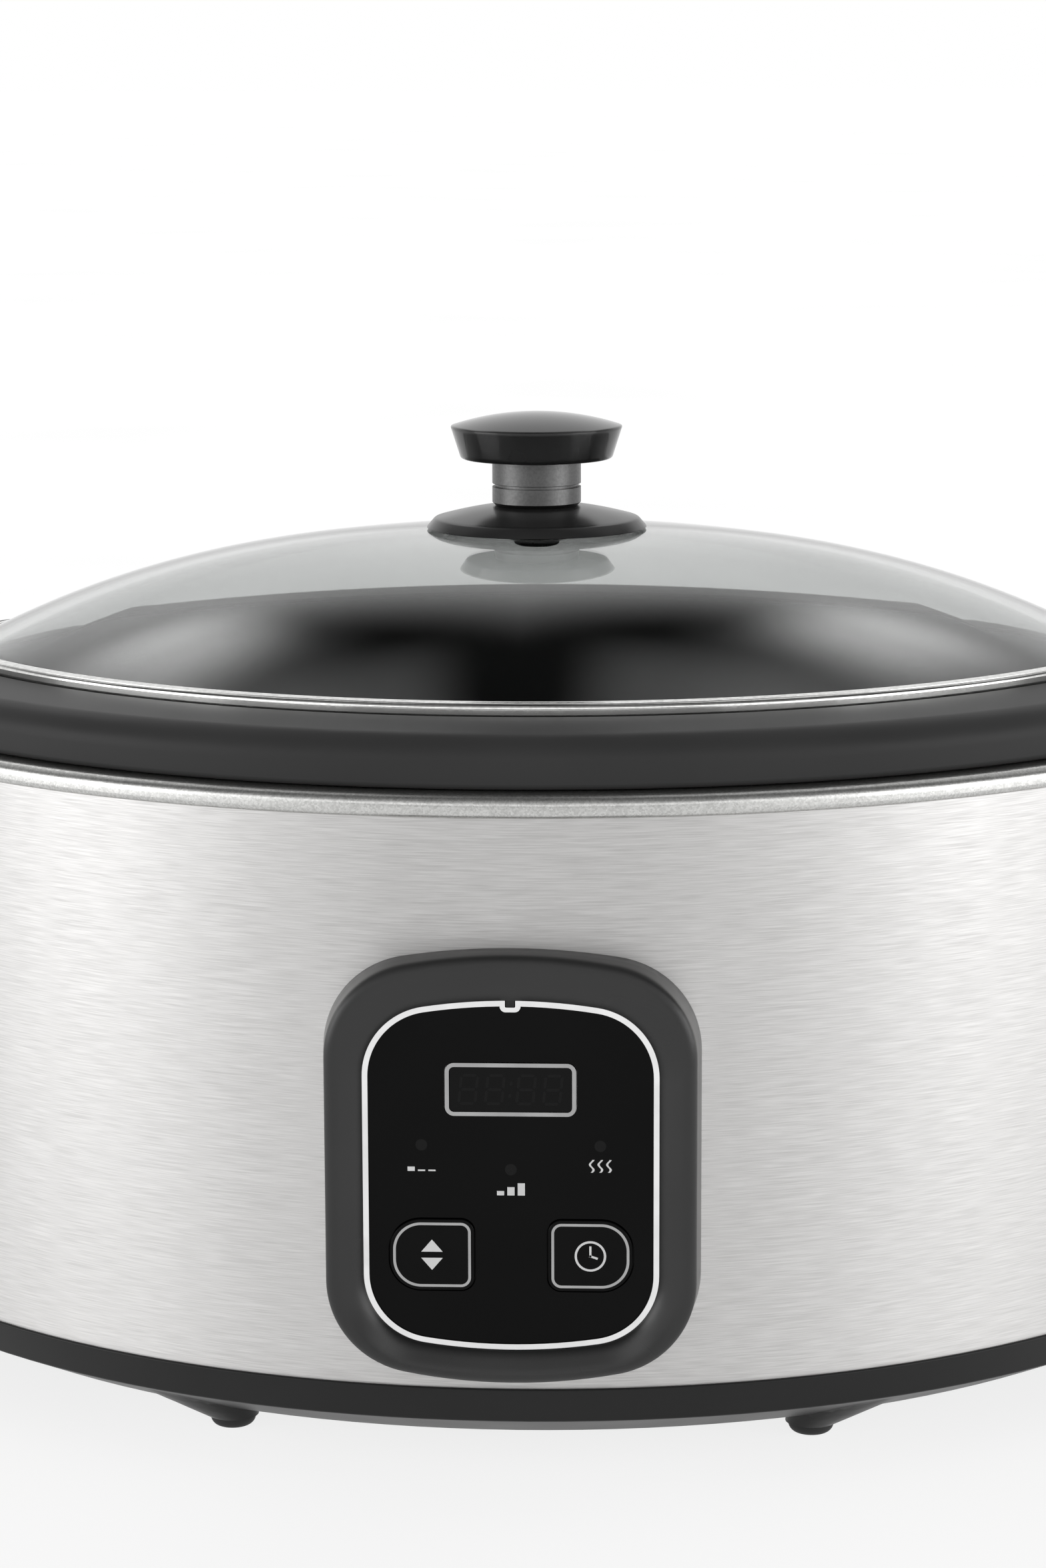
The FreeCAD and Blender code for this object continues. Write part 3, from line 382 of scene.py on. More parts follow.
# The skirt's softer gloss: highlights that fade out along its bevel and crown. Its tone is painted
# lighter than the cap's, a painted sheen that stands in for the bright reflections on its bevel.
SATIN_PHENOLIC_PAINTED_LIGHTER = Moulded("satin_black_phenolic_painted_lighter", "knob_black", tone="#2a2a2a", deep="#262626",
                         smooth=0.22, rough=0.28, grain_mm=1.5, depth_mm=0.001, patch_mm=12.0,
                         shine=0.3)
# Blasted metal of the knob's neck: dark grey with an even sheen.
NECK = Metal("satin_blasted_metal", "knob_satin", bright="#656565", dim="#5d5d5d",
             smooth=0.36, rough=0.42, grain_mm=0.6)
# Silicone under the knob: dull mid grey.
SILICONE = Moulded("grey_silicone", "gasket_grey", tone="#8a8a8a", deep="#7d7d7d",
                   smooth=0.5, rough=0.6, grain_mm=0.8, depth_mm=0.01)
# Zinc-plated fasteners: cool grey, clouded.
ZINC = Metal("zinc_plated_steel", "screw_metal", bright="#b4b4b2", dim="#9a9a98",
             smooth=0.25, rough=0.4)
# Satin moulded frame of the panel: fine spark-eroded grain and broad soft edges.
SATIN_ABS = Moulded("satin_black_abs", "bezel_black", tone="#202020", deep="#1c1c1c",
                    smooth=0.26, rough=0.32, grain_mm=0.5, depth_mm=0.002, edge_mm=4.0)
# Gloss acrylic plate of the panel: deep black that mirrors little.
ACRYLIC = Moulded("gloss_black_acrylic", "fascia_black", tone="#0b0b0b", deep="#080808",
                  smooth=0.12, rough=0.16, grain_mm=2.0, depth_mm=0.001, patch_mm=25.0,
                  ior=1.49, shine=0.08)
# Chrome line round the panel: near white.
CHROME = Metal("bright_chrome_trim", "trim_silver", bright="#eeeeee", dim="#e4e4e4",
               smooth=0.14, rough=0.2, grain_mm=6.0)
# Duller plated line round the display and the keys: light grey.
SATIN_TRIM = Metal("satin_plated_trim", "trim_silver", bright="#b0b0b0", dim="#a6a6a6",
                   smooth=0.24, rough=0.3, grain_mm=6.0)
# Smoked window of the display: black and glassy.
SMOKED = Moulded("smoked_acrylic_window", "lens_dark", tone="#0b0b0b", deep="#080808",
                 smooth=0.05, rough=0.08, grain_mm=2.0, depth_mm=0.0005, patch_mm=25.0,
                 ior=1.49, shine=0.12)
# Unlit segments that just show through the window.
SEGMENT = Moulded("unlit_segment", "lens_dark", tone="#141414", deep="#111111",
                  smooth=0.1, rough=0.15, grain_mm=2.0, depth_mm=0.0005, patch_mm=25.0,
                  ior=1.49, shine=0.12)
# Translucent spots in front of the lamps: a shade lighter than the plate.
SPOT = Moulded("smoked_lamp_spot", "lens_dark", tone="#111111", deep="#0e0e0e",
               smooth=0.2, rough=0.3, grain_mm=1.0, depth_mm=0.001, patch_mm=6.0,
               ior=1.49, shine=0.15)
# Key caps in the same gloss as the plate.
KEY = Moulded("gloss_black_key", "key_black", tone="#0c0c0c", deep="#090909",
              smooth=0.12, rough=0.16, grain_mm=2.0, depth_mm=0.001, patch_mm=12.0,
              ior=1.49, shine=0.08)
# Base pan: moulded black plastic with a soft sheen.
BASE = Moulded("black_polypropylene", "base_black", tone="#242424", deep="#212121",
               smooth=0.36, rough=0.42, grain_mm=0.5, depth_mm=0.003, shine=0.2)
# Handles: black plastic with a finer grip grain.
GRIP = Moulded("black_grip_plastic", "handle_black", tone="#1c1c1c", deep="#171717",
               smooth=0.32, rough=0.42, grain_mm=0.7, depth_mm=0.012)
# Rubber feet: dull black.
RUBBER = Moulded("black_rubber", "foot_rubber", tone="#1a1a1a", deep="#131313",
                 smooth=0.6, rough=0.75, grain_mm=0.8, depth_mm=0.015)
# Lacquered circuit boards: green with a low gloss.
BOARD = Moulded("green_circuit_board", "board_green", tone="#1f5b36", deep="#174a2b",
                smooth=0.3, rough=0.45, grain_mm=1.0, depth_mm=0.01)
# Moulded display block, switches and relay: dark and even.
MODULE = Moulded("dark_display_block", "module_dark", tone="#1d1d1f", deep="#161618",
                 smooth=0.4, rough=0.5)
# Lens of the small lamps: milky and smooth.
LAMP = Moulded("milky_lamp_lens", "lamp_clear", tone="#d9d9d4", deep="#c9c9c4",
               smooth=0.15, rough=0.25)
# Mica wrap of the heater: tan and flaky.
HEATER = Moulded("mica_heater_wrap", "heater_wrap", tone="#b8a27c", deep="#a08a66",
                 smooth=0.4, rough=0.55, grain_mm=1.2, depth_mm=0.02)
# Terminal plastic: warm white.
CERAMIC = Moulded("white_terminal_plastic", "block_white", tone="#e2e0d8", deep="#d4d2ca",
                  smooth=0.35, rough=0.5)
# Pad-printed ink: pale and dull.
INK = Moulded("pale_print_ink", "trim_silver", tone="#dcdcdc", deep="#d2d2d2",
              smooth=0.45, rough=0.55, grain_mm=0.3, depth_mm=0.002)


# ---------------------------------------------------------------- mesh helpers


def publish(bm: bmesh.types.BMesh, name: str, body: str, finish: Finish,
            stands_for: Iterable[str] = (), sharp: float = CRISP) -> bpy.types.Object:
    """Turn a bmesh into a finished piece that rides a body.

    Args:
        bm: Mesh in metres in the shared frame; it is freed.
        name: Name of the new object.
        body: Body that carries the piece.
        finish: Surface of the piece.
        stands_for: CAD nodes that the piece is shown in place of.
        sharp: Angle in degrees above which an edge stays crisp.

    Returns:
        The new object.
    """
    bmesh.ops.remove_doubles(bm, verts=bm.verts, dist=MERGE)
    bmesh.ops.recalc_face_normals(bm, faces=bm.faces)
    for face in bm.faces:
        face.smooth = True
    for edge in bm.edges:
        edge.smooth = not (len(edge.link_faces) == 2
                           and edge.calc_face_angle() > math.radians(sharp))
    mesh = bpy.data.meshes.new(name)
    bm.to_mesh(mesh)
    bm.free()
    mesh.materials.append(finish.material())
    piece = bpy.data.objects.new(name, mesh)
    bpy.context.scene.collection.objects.link(piece)
    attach(piece, body)
    if stands_for:
        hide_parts(*stands_for)
    LOG.info("%s: %d faces", name, len(mesh.polygons))
    return piece


def refined(node: str, finish: Finish) -> None:
    """Show a CAD node as a copy with joined triangles and smooth round faces.

    Args:
        node: Name of the CAD node.
        finish: Surface of the copy.
    """
    source = frame["nodes"][node]
    bm = bmesh.new()
    bm.from_mesh(source.data)
    piece = publish(bm, node + "_smooth", source["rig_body"], finish, (node,))
    even = piece.modifiers.new("even_normals", "WEIGHTED_NORMAL")
    even.keep_sharp = True


def coat(node: str, finish: Finish) -> None:
    """Lay a finish on a CAD node as it is.

    Args:
        node: Name of the CAD node.
        finish: Surface that it gets.
    """
    mesh = frame["nodes"][node].data
    mesh.materials.clear()
    mesh.materials.append(finish.material())
    LOG.info("%s: %s", node, finish.name)


@dataclass(frozen=True)
class OvalPlan:
    """Body outline of four tangent arcs, in millimetres."""

    half_length: float = 170.0
    half_width: float = 132.0
    end_radius: float = 99.4
    steps: int = 36

    def arcs(self) -> List[Tuple[Vector, float, float, float]]:
        """Work out the four arcs, anticlockwise from the right end.

        Returns:
            Centre, radius, start angle and sweep of each arc.
        """
        side = ((self.half_length ** 2 + self.half_width ** 2
                 - 2 * self.half_length * self.end_radius)
                / (2 * (self.half_width - self.end_radius)))
        out, down = self.half_length - self.end_radius, side - self.half_width
        join = math.atan2(down, out)
        ends, sides = 2 * join, math.pi - 2 * join
        return [(Vector((out, 0, 0)), self.end_radius, -join, ends),
                (Vector((0, -down, 0)), side, join, sides),
                (Vector((-out, 0, 0)), self.end_radius, math.pi - join, ends),
                (Vector((0, down, 0)), side, math.pi + join, sides)]

    def loop(self, offset: float, level: float) -> bmesh.types.BMesh:
        """Draw the oval once as a closed line.

        Args:
            offset: Distance outside the body outline.
            level: Height above the table.

        Returns:
            New mesh of edges, in metres.
        """
        bm = bmesh.new()
        centre, radius, start, _ = self.arcs()[0]
        ray = Vector((math.cos(start), math.sin(start), 0))
        first = centre + ray * (radius + offset) + Vector((0, 0, level))
        geom: List[Any] = [bm.verts.new(first * MM)]
        for centre, _, _, turn in self.arcs():
            made = bmesh.ops.spin(bm, geom=geom, cent=centre * MM, axis=(0, 0, 1), angle=turn,
                                  steps=self.steps, use_merge=False)
            geom = made["geom_last"]
        bmesh.ops.remove_doubles(bm, verts=bm.verts, dist=MERGE)
        return bm


OVAL = OvalPlan()


def prism(bm: bmesh.types.BMesh, outline: Sequence[Point], front: float, deep: float) -> None:
    """Add a flat upright plate with an outline seen from the front.

    Args:
        bm: Mesh that takes the plate.
        outline: Points across and up, in millimetres.
        front: Y of its front face.
        deep: Thickness towards the back.
    """
    verts = [bm.verts.new(Vector((x, front + deep, z)) * MM) for x, z in outline]
    face = bm.faces.new(verts)
    made = bmesh.ops.extrude_face_region(bm, geom=[face])
    moved = [item for item in made["geom"] if isinstance(item, bmesh.types.BMVert)]
    bmesh.ops.translate(bm, vec=(0, -deep * MM, 0), verts=moved)


# ---------------------------------------------------------------- sub-assemblies


@dataclass
class Assembly:
    """Sub-assembly whose CAD nodes are smoothed where they show and coated where they don't."""

    outside: Dict[str, Finish] = field(default_factory=dict)
    inside: Dict[str, Finish] = field(default_factory=dict)

    def build(self) -> None:
        """Make the outer pieces."""
        for node, finish in self.outside.items():
            refined(node, finish)

    def dress(self) -> None:
        """Finish the inner pieces."""
        for node, finish in self.inside.items():
            coat(node, finish)


@dataclass
class Housing(Assembly):
    """Base, steel wrap, heating well, handles, feet and what is inside."""

    outside: Dict[str, Finish] = field(default_factory=lambda: {
        "base_pan": BASE, "outer_wrap": STEEL, "heating_well": WELL, "handle_right": GRIP,
        "handle_left": GRIP, "foot_front_right": RUBBER, "foot_front_left": RUBBER,
        "foot_back_right": RUBBER, "foot_back_left": RUBBER, "cord_gland": BASE,
    })
    inside: Dict[str, Finish] = field(default_factory=lambda: {
        "handle_screws": ZINC, "tie_posts": ZINC, "base_screws": ZINC, "heater_band": HEATER,
        "temperature_sensor": ZINC, "thermal_fuse": CERAMIC, "power_board": BOARD,
        "power_board_screws": ZINC, "relay": MODULE, "terminal_block": CERAMIC,
    })


@dataclass
class Crock(Assembly):
    """Glazed stoneware pot."""

    outside: Dict[str, Finish] = field(default_factory=lambda: {"crock": GLAZE})


@dataclass
class Lid(Assembly):
    """Domed glass in its metal channel."""

    outside: Dict[str, Finish] = field(default_factory=lambda: {"lid_rim": RIM})
    offset: float = -26.45
    foot: float = 170.0
    foot_bevel: float = 0.25
    foot_scale: float = 0.9985
    edge: float = 171.6
    rise: float = 29.4
    power: float = 2.6
    thick: float = 4.0
    thin: float = 2.0
    hub: float = 0.07
    waist: float = 0.1
    hole: float = 0.03
    rings: int = 30

    def level(self, scale: float) -> float:
        """Height of the outside of the dome where the outline has shrunk to a scale."""
        return self.edge + self.rise * (1 - scale ** self.power)

    def wall(self, scale: float) -> float:
        """Thickness of the glass: full at the hub and the edge, and thinner between.

        Args:
            scale: Share of the outline's full size.

        Returns:
            Thickness in millimetres.
        """
        between = self.thin * (self.thick / self.thin) ** (scale ** (self.power - 1))
        share = min(max((self.waist - scale) / (self.waist - self.hub), 0.0), 1.0)
        return between + (self.thick - between) * share

    def profile(self) -> List[Point]:
        """Follow the wall from the outer foot over the top and back down the inside.

        Returns:
            Scale of the outline and level of each ring.
        """
        scales = [1 - (1 - self.hole) * (1 - math.cos(0.5 * math.pi * place / self.rings))
                  for place in range(self.rings + 1)]
        scales = sorted(scales + [self.hub, self.waist], reverse=True)
        inside = (1 - (self.foot - self.edge + self.thick) / self.rise) ** (1 / self.power)
        outer = [(self.foot_scale, self.foot), (1.0, self.foot + self.foot_bevel)]
        outer += [(scale, self.level(scale)) for scale in scales]
        inner = [(scale, self.level(scale) - self.wall(scale)) for scale in reversed(scales)
                 if scale < inside]
        return outer + inner + [(inside, self.foot)]

    def build(self) -> None:
        """Draw the outline up over the dome and down inside, then close the foot."""
        bm = OVAL.loop(self.offset, self.foot)
        first = edges = bm.edges[:]
        before = 1.0
        for place, (scale, level) in enumerate(self.profile()):
            if place:
                made = bmesh.ops.extrude_edge_only(bm, edges=edges)["geom"]
                edges = [item for item in made if isinstance(item, bmesh.types.BMEdge)]
            ring = list({vert for edge in edges for vert in edge.verts})
            share = scale / before
            bmesh.ops.scale(bm, vec=(share, share, 1), verts=ring)
            bmesh.ops.translate(bm, vec=(0, 0, level * MM - ring[0].co.z), verts=ring)
            before = scale
        bmesh.ops.bridge_loops(bm, edges=first + edges)
        publish(bm, "lid_glass_dome", BodyName.LID.value, GLASS, ("lid_glass",), CRISP_RINGS)
        super().build()


@dataclass
class Knob(Assembly):
    """Skirt, neck, mushroom cap and fasteners in the middle of the lid."""

    outside: Dict[str, Finish] = field(default_factory=lambda: {
        "knob_gasket": SILICONE, "knob_collar": NECK, "knob_sleeve": NECK, "knob_cap": PHENOLIC,
        "knob_washer": ZINC, "knob_screw": ZINC,
    })
    bore: float = 2.55
    seat_radius: float = 22.15
    seat_rise: float = 1.4
    wall: float = 2.2
    rim_rise: float = 2.4
    rim_lean: float = 2.1
    neck: float = 10.1
    crown: float = 1.4
    round_by: float = 0.4
    round_steps: int = 3
    rings: int = 12
    steps: int = 96

    def build(self) -> None:
        """Turn the skirt and make the other pieces."""
        self.skirt()
        super().build()

    def skirt(self) -> None:
        """Turn the skirt: hollow foot, bevelled rim and a crown that rises to the neck."""
        low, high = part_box("knob_skirt")
        edge, foot, top = high.x / MM, low.z / MM, high.z / MM
        ridge, drop = edge - self.rim_lean, top - foot - self.rim_rise
        outline = [(self.bore, foot + self.seat_rise), (self.seat_radius, foot + self.seat_rise),
                   (edge - self.wall, foot), (edge, foot)]
        for place in range(self.rings + 1):
            share = 1 - place / self.rings
            outline.append((self.neck + (ridge - self.neck) * share,
                            top - drop * share ** self.crown))
        outline.append((self.bore, top))
        bm = bmesh.new()
        verts = [bm.verts.new(Vector((radius, 0, level)) * MM) for radius, level in outline]
        sides = [bm.edges.new(pair) for pair in zip(verts, verts[1:] + verts[:1])]
        bmesh.ops.spin(bm, geom=verts + sides, cent=(0, 0, 0), axis=(0, 0, 1), angle=2 * math.pi,
                       steps=self.steps, use_merge=True)
        corners = [side for side in bm.edges
                   if all(vert.co.xy.length > ridge * MM - MERGE for vert in side.verts)
                   and abs(side.verts[0].co.z - side.verts[1].co.z) < MERGE]
        bmesh.ops.bevel(bm, geom=corners, offset=self.round_by * MM, affect="EDGES",
                        segments=self.round_steps, profile=0.5, material=-1)
        # The skirt's tone is painted lighter than the cap's, standing in for the bright reflections
        # on its bevel.
        publish(bm, "knob_skirt_turned", BodyName.LID.value, SATIN_PHENOLIC_PAINTED_LIGHTER, ("knob_skirt",),
                CRISP_RINGS)


@dataclass
class ControlPanel(Assembly):
    """Frame, fascia, trims, display and keys on the front."""

    outside: Dict[str, Finish] = field(default_factory=lambda: {
        "control_bezel": SATIN_ABS, "border_trim": CHROME, "control_fascia": ACRYLIC,
        "display_trim": SATIN_TRIM, "display_lens": SMOKED, "key_select": KEY, "key_time": KEY,
        "key_select_trim": SATIN_TRIM, "key_time_trim": SATIN_TRIM,
    })
    inside: Dict[str, Finish] = field(default_factory=lambda: {
        "control_board": BOARD, "board_screws": ZINC, "bezel_screws": ZINC,
        "display_module": MODULE, "indicator_leds": LAMP, "tact_switches": MODULE,
    })


@dataclass
class PanelMarks(Assembly):
    """Printed signs, lamp spots and the unlit digits of the display."""

    fascia_y: float = -135.6
    key_y: float = -136.0
    lens_y: float = -135.775
    print_mm: float = 0.03
    film_mm: float = 0.01
    stroke_half: float = 0.24
    # Level signs.
    level_across: float = 19.8
    side_level_z: float = 74.6
    middle_level_z: float = 69.2
    sign_drop: float = 1.3
    bar_count: int = 3
    bar_pitch: float = 2.3
    bar_width: float = 1.6
    bar_stub: float = 0.35
    bar_low: float = 1.0
    bar_step: float = 0.9
    wave_pitch: float = 1.9
    wave_swing: float = 0.4
    wave_turns: float = 1.2
    wave_rise: float = 2.9
    wave_steps: int = 12
    # Lamp spots.
    side_lamp_z: float = 79.3
    middle_lamp_z: float = 73.8
    lamp_radius: float = 1.3
    lamp_steps: int = 32
    # Digits.
    display_z: float = 92.05
    digit_count: int = 4
    digit_width: float = 3.6
    digit_height: float = 6.4
    digit_pitch: float = 5.9
    digit_shift: float = 0.5
    slant: float = 0.1
    segment: float = 0.62
    segment_gap: float = 0.5
    colon_rise: float = 1.4
    colon_long: float = 1.1
    # Key signs.
    key_across: float = 17.6
    key_z: float = 54.2
    arrow_foot: float = 0.7
    arrow_tip: float = 3.5
    arrow_half: float = 2.4
    clock_inner: float = 3.0
    clock_outer: float = 3.5
    clock_steps: int = 48
    # Length of each hand and how far it is turned from upright, in radians.
    clock_hands: Sequence[Point] = ((2.3, 0.0), (1.7, 1.9))

    def build(self) -> None:
        """Print every sign."""
        self.levels()
        self.spots()
        self.digits()
        self.arrows()
        self.clock()

    def levels(self) -> None:
        """One bar for low, three for high and rising warmth for keep warm."""
        bm = bmesh.new()
        front = self.fascia_y - self.print_mm
        for count, middle, level in ((1, -self.level_across, self.side_level_z),
                                     (self.bar_count, 0.0, self.middle_level_z)):
            foot = level - self.sign_drop
            for place in range(self.bar_count):
                left = middle + (place - 1) * self.bar_pitch - self.bar_width / 2
                right = left + self.bar_width
                tall = self.bar_low + self.bar_step * place if place < count else self.bar_stub
                prism(bm, [(left, foot), (right, foot), (right, foot + tall), (left, foot + tall)],
                      front, self.print_mm)
        for wave in (-1, 0, 1):
            middle = self.level_across + self.wave_pitch * wave
            shares = [step / self.wave_steps for step in range(self.wave_steps + 1)]
            line = [(middle + self.wave_swing * math.sin(2 * math.pi * self.wave_turns * share),
                     self.side_level_z - self.sign_drop + self.wave_rise * share)
                    for share in shares]
            outline = [(x + self.stroke_half, z) for x, z in line]
            outline += [(x - self.stroke_half, z) for x, z in reversed(line)]
            prism(bm, outline, front, self.print_mm)
        publish(bm, "level_signs", BodyName.HOUSING.value, INK)

    def spots(self) -> None:
        """Faint round windows in front of the three lamps."""
        bm = bmesh.new()
        turns = [2 * math.pi * step / self.lamp_steps for step in range(self.lamp_steps)]
        for side in (-1, 0, 1):
            level = self.side_lamp_z if side else self.middle_lamp_z
            prism(bm, [(side * self.level_across + self.lamp_radius * math.cos(angle),
                        level + self.lamp_radius * math.sin(angle)) for angle in turns],
                  self.fascia_y - self.film_mm, self.film_mm)
        publish(bm, "lamp_spots", BodyName.HOUSING.value, SPOT)

    def bar(self, bm: bmesh.types.BMesh, x: float, z: float, long: float, upright: bool) -> None:
        """Add one segment with pointed ends.

        Args:
            bm: Mesh that takes the segment.
            x: Middle of the segment, across.
            z: Middle of the segment, up.
            long: Length from point to point.
            upright: Whether it stands.
        """
        half, thin = long / 2, self.segment / 2
        outline = [(-half, 0), (-half + thin, -thin), (half - thin, -thin), (half, 0),
                   (half - thin, thin), (-half + thin, thin)]
        if upright:
            outline = [(-b, a) for a, b in outline]
        prism(bm, [(x + a + self.slant * (z + b - self.display_z), z + b) for a, b in outline],
              self.lens_y - self.film_mm, self.film_mm)

    def digits(self) -> None:
        """Unlit slanted digits with a colon in the middle."""
        bm = bmesh.new()
        wide, half = self.digit_width, self.digit_height / 2
        centre = (self.digit_count - 1) / 2
        for place in range(self.digit_count):
            middle = (place - centre) * self.digit_pitch
            middle += math.copysign(self.digit_shift, place - centre)
            for row in (-1, 0, 1):
                self.bar(bm, middle, self.display_z + row * half, wide - self.segment_gap, False)
            for column in (-1, 1):
                for row in (-0.5, 0.5):
                    self.bar(bm, middle + column * wide / 2, self.display_z + row * half,
                             half - self.segment_gap, True)
        for row in (-1, 1):
            self.bar(bm, 0.0, self.display_z + row * self.colon_rise, self.colon_long, True)
        publish(bm, "unlit_digits", BodyName.HOUSING.value, SEGMENT)

    def arrows(self) -> None:
        """Up and down arrows on the key that selects."""
        bm = bmesh.new()
        middle = -self.key_across
        for way in (-1, 1):
            foot, tip = self.key_z + self.arrow_foot * way, self.key_z + self.arrow_tip * way
            prism(bm, [(middle - self.arrow_half, foot), (middle + self.arrow_half, foot),
                       (middle, tip)], self.key_y - self.print_mm, self.print_mm)
        publish(bm, "select_sign", BodyName.SELECT_KEY.value, INK)

    def clock(self) -> None:
        """Clock face with two hands on the key that sets the time."""
        bm = bmesh.new()
        front = self.key_y - self.print_mm
        centre = Vector((self.key_across, front + self.print_mm / 2, self.key_z)) * MM
        ring = [bm.verts.new(centre + Vector((radius, 0, 0)) * MM)
                for radius in (self.clock_inner, self.clock_outer)]
        edge = bm.edges.new(ring)
        bmesh.ops.spin(bm, geom=ring + [edge], cent=centre, axis=(0, 1, 0), angle=2 * math.pi,
                       steps=self.clock_steps, use_merge=True)
        bmesh.ops.solidify(bm, geom=bm.faces[:], thickness=self.print_mm / 2 * MM)
        for long, turn in self.clock_hands:
            ray = Vector((math.sin(turn), 0, math.cos(turn)))
            flank = Vector((ray.z, 0, -ray.x)) * self.stroke_half
            start, stop = ray * -self.stroke_half, ray * long
            points = [start - flank, start + flank, stop + flank, stop - flank]
            prism(bm, [(self.key_across + point.x, self.key_z + point.z) for point in points],
                  front, self.print_mm)
        publish(bm, "time_sign", BodyName.TIME_KEY.value, INK)


# ---------------------------------------------------------------- studio


class Way(Enum):
    """Directions along which a bank of light is bounded."""

    ASIDE = "aside"
    BACK = "back"
    UP = "up"
    UP_OR_ASIDE = "up_or_aside"


@dataclass(frozen=True)
class Step:
    """Smooth step of light between two places along a way."""

    way: Way
    low: float
    high: float
    start: float
    stop: float


@dataclass(frozen=True)
class Lamp:
    """Soft square lamp that hangs at the same place on both sides, in metres and watts."""

    name: str
    aside: float
    back: float
    up: float
    size: float
    watts: float


@dataclass
class Studio:
    """Pale floor, soft light and the camera."""

    # White all round at eye level and dimmer in front, two banks overhead with a dark gap between
    # them, brighter ends, and a soft bank in front.
    banks: Sequence[Sequence[Step]] = (
        (Step(Way.UP_OR_ASIDE, 0.66, 0.92, 1.0, 0.02), Step(Way.BACK, -0.97, -0.3, 0.22, 1.0)),
        (Step(Way.ASIDE, 0.04, 0.17, 0.0, 0.55), Step(Way.UP, 0.84, 0.97, 0.0, 1.0),
         Step(Way.BACK, -0.1, 0.2, 0.0, 1.0)),
        (Step(Way.ASIDE, 0.14, 0.38, 0.0, 0.6), Step(Way.UP, 0.45, 0.65, 0.0, 1.0),
         Step(Way.BACK, -0.1, 0.2, 0.0, 1.0)),
        (Step(Way.ASIDE, 0.2, 0.33, 0.0, 1.8), Step(Way.ASIDE, 0.36, 0.52, 1.0, 0.0),
         Step(Way.UP, 0.56, 0.68, 0.0, 1.0), Step(Way.UP, 0.72, 0.86, 1.0, 0.0),
         Step(Way.BACK, -0.1, 0.2, 0.0, 1.0)),
        (Step(Way.UP, 0.1, 0.26, 0.0, 1.5), Step(Way.UP, 0.35, 0.52, 1.0, 0.12),
         Step(Way.BACK, -0.45, -0.05, 1.0, 0.0)),
    )
    # The dark gap overhead lies a little left of the middle.
    gap_shift: float = 0.05
    aside_weight: float = 0.5
    lamps: Sequence[Lamp] = (Lamp("side_light", 1.3, -0.45, 0.2, 0.9, 6.0),
                             Lamp("front_side_light", 1.0, -1.1, 0.1, 0.6, 0.9))
    lamp_aim: float = 0.1
    # The floor glows white to the camera, less so near the object, where its shadow shows.
    floor_half: float = 30.0
    floor_tones: Tuple[str, str] = ("#f4f4f4", "#f8f8f8")
    floor_cloud: float = 3.0
    glow: float = 1.1
    glow_near: float = 0.8
    shadow_start: float = 0.15
    shadow_stop: float = 0.7
    # Camera, fitted to the photo in its pixels.
    photo_height: int = 2351
    focal_px: float = 6110.8
    distance_mm: float = 1007.5
    height_mm: float = 318.0
    azimuth: float = 0.0456
    axis_px: float = 22.2
    pitch: float = 0.1787
    roll: float = 0.0038
    sensor_mm: float = 36.0
    clip_mm: float = 10.0

    def build(self) -> None:
        """Make floor, lights, world and camera."""
        self.floor()
        self.world()
        for side in (-1, 1):
            for lamp in self.lamps:
                self.hang(lamp, side)
        self.camera()

    def floor(self) -> None:
        """Pale floor that keeps the object's shadow and reads white to the camera."""
        bm = bmesh.new()
        bmesh.ops.create_grid(bm, x_segments=1, y_segments=1, size=self.floor_half)
        mesh = bpy.data.meshes.new("floor")
        bm.to_mesh(mesh)
        bm.free()
        made = bpy.data.materials.new("pale_studio_floor")
        made.use_nodes = True
        tree = made.node_tree
        tree.nodes.clear()
        place = add(tree, "ShaderNodeTexCoord").outputs["Object"]
        cloud = add(tree, "ShaderNodeTexNoise", {"Vector": place, "Scale": self.floor_cloud})
        colour = add(tree, "ShaderNodeValToRGB", {"Fac": cloud.outputs["Fac"]},
                     stops=tuple(zip((NOISE_LOW, NOISE_HIGH), self.floor_tones))).outputs["Color"]
        cover = add(tree, "ShaderNodeBsdfDiffuse", {"Color": colour})
        glow = add(tree, "ShaderNodeEmission", {"Color": colour, "Strength": self.glow})
        away = add(tree, "ShaderNodeVectorMath", {0: place}, operation="LENGTH")
        share = add(tree, "ShaderNodeMapRange",
                    {"Value": away.outputs["Value"], "From Min": self.shadow_start,
                     "From Max": self.shadow_stop, "To Min": self.glow_near, "To Max": 1.0})
        both = add(tree, "ShaderNodeMixShader",
                   {"Fac": share.outputs["Result"], 1: cover.outputs["BSDF"],
                    2: glow.outputs["Emission"]})
        rays = add(tree, "ShaderNodeLightPath")
        seen = add(tree, "ShaderNodeMath",
                   {0: rays.outputs["Is Camera Ray"], 1: rays.outputs["Is Glossy Ray"]},
                   operation="MAXIMUM")
        seen = add(tree, "ShaderNodeMath",
                   {0: seen.outputs["Value"], 1: rays.outputs["Is Transmission Ray"]},
                   operation="MAXIMUM")
        pick = add(tree, "ShaderNodeMixShader",
                   {"Fac": seen.outputs["Value"], 1: cover.outputs["BSDF"],
                    2: both.outputs["Shader"]})
        add(tree, "ShaderNodeOutputMaterial", {"Surface": pick.outputs["Shader"]})
        mesh.materials.append(made)
        ground = bpy.data.objects.new("floor", mesh)
        bpy.context.scene.collection.objects.link(ground)

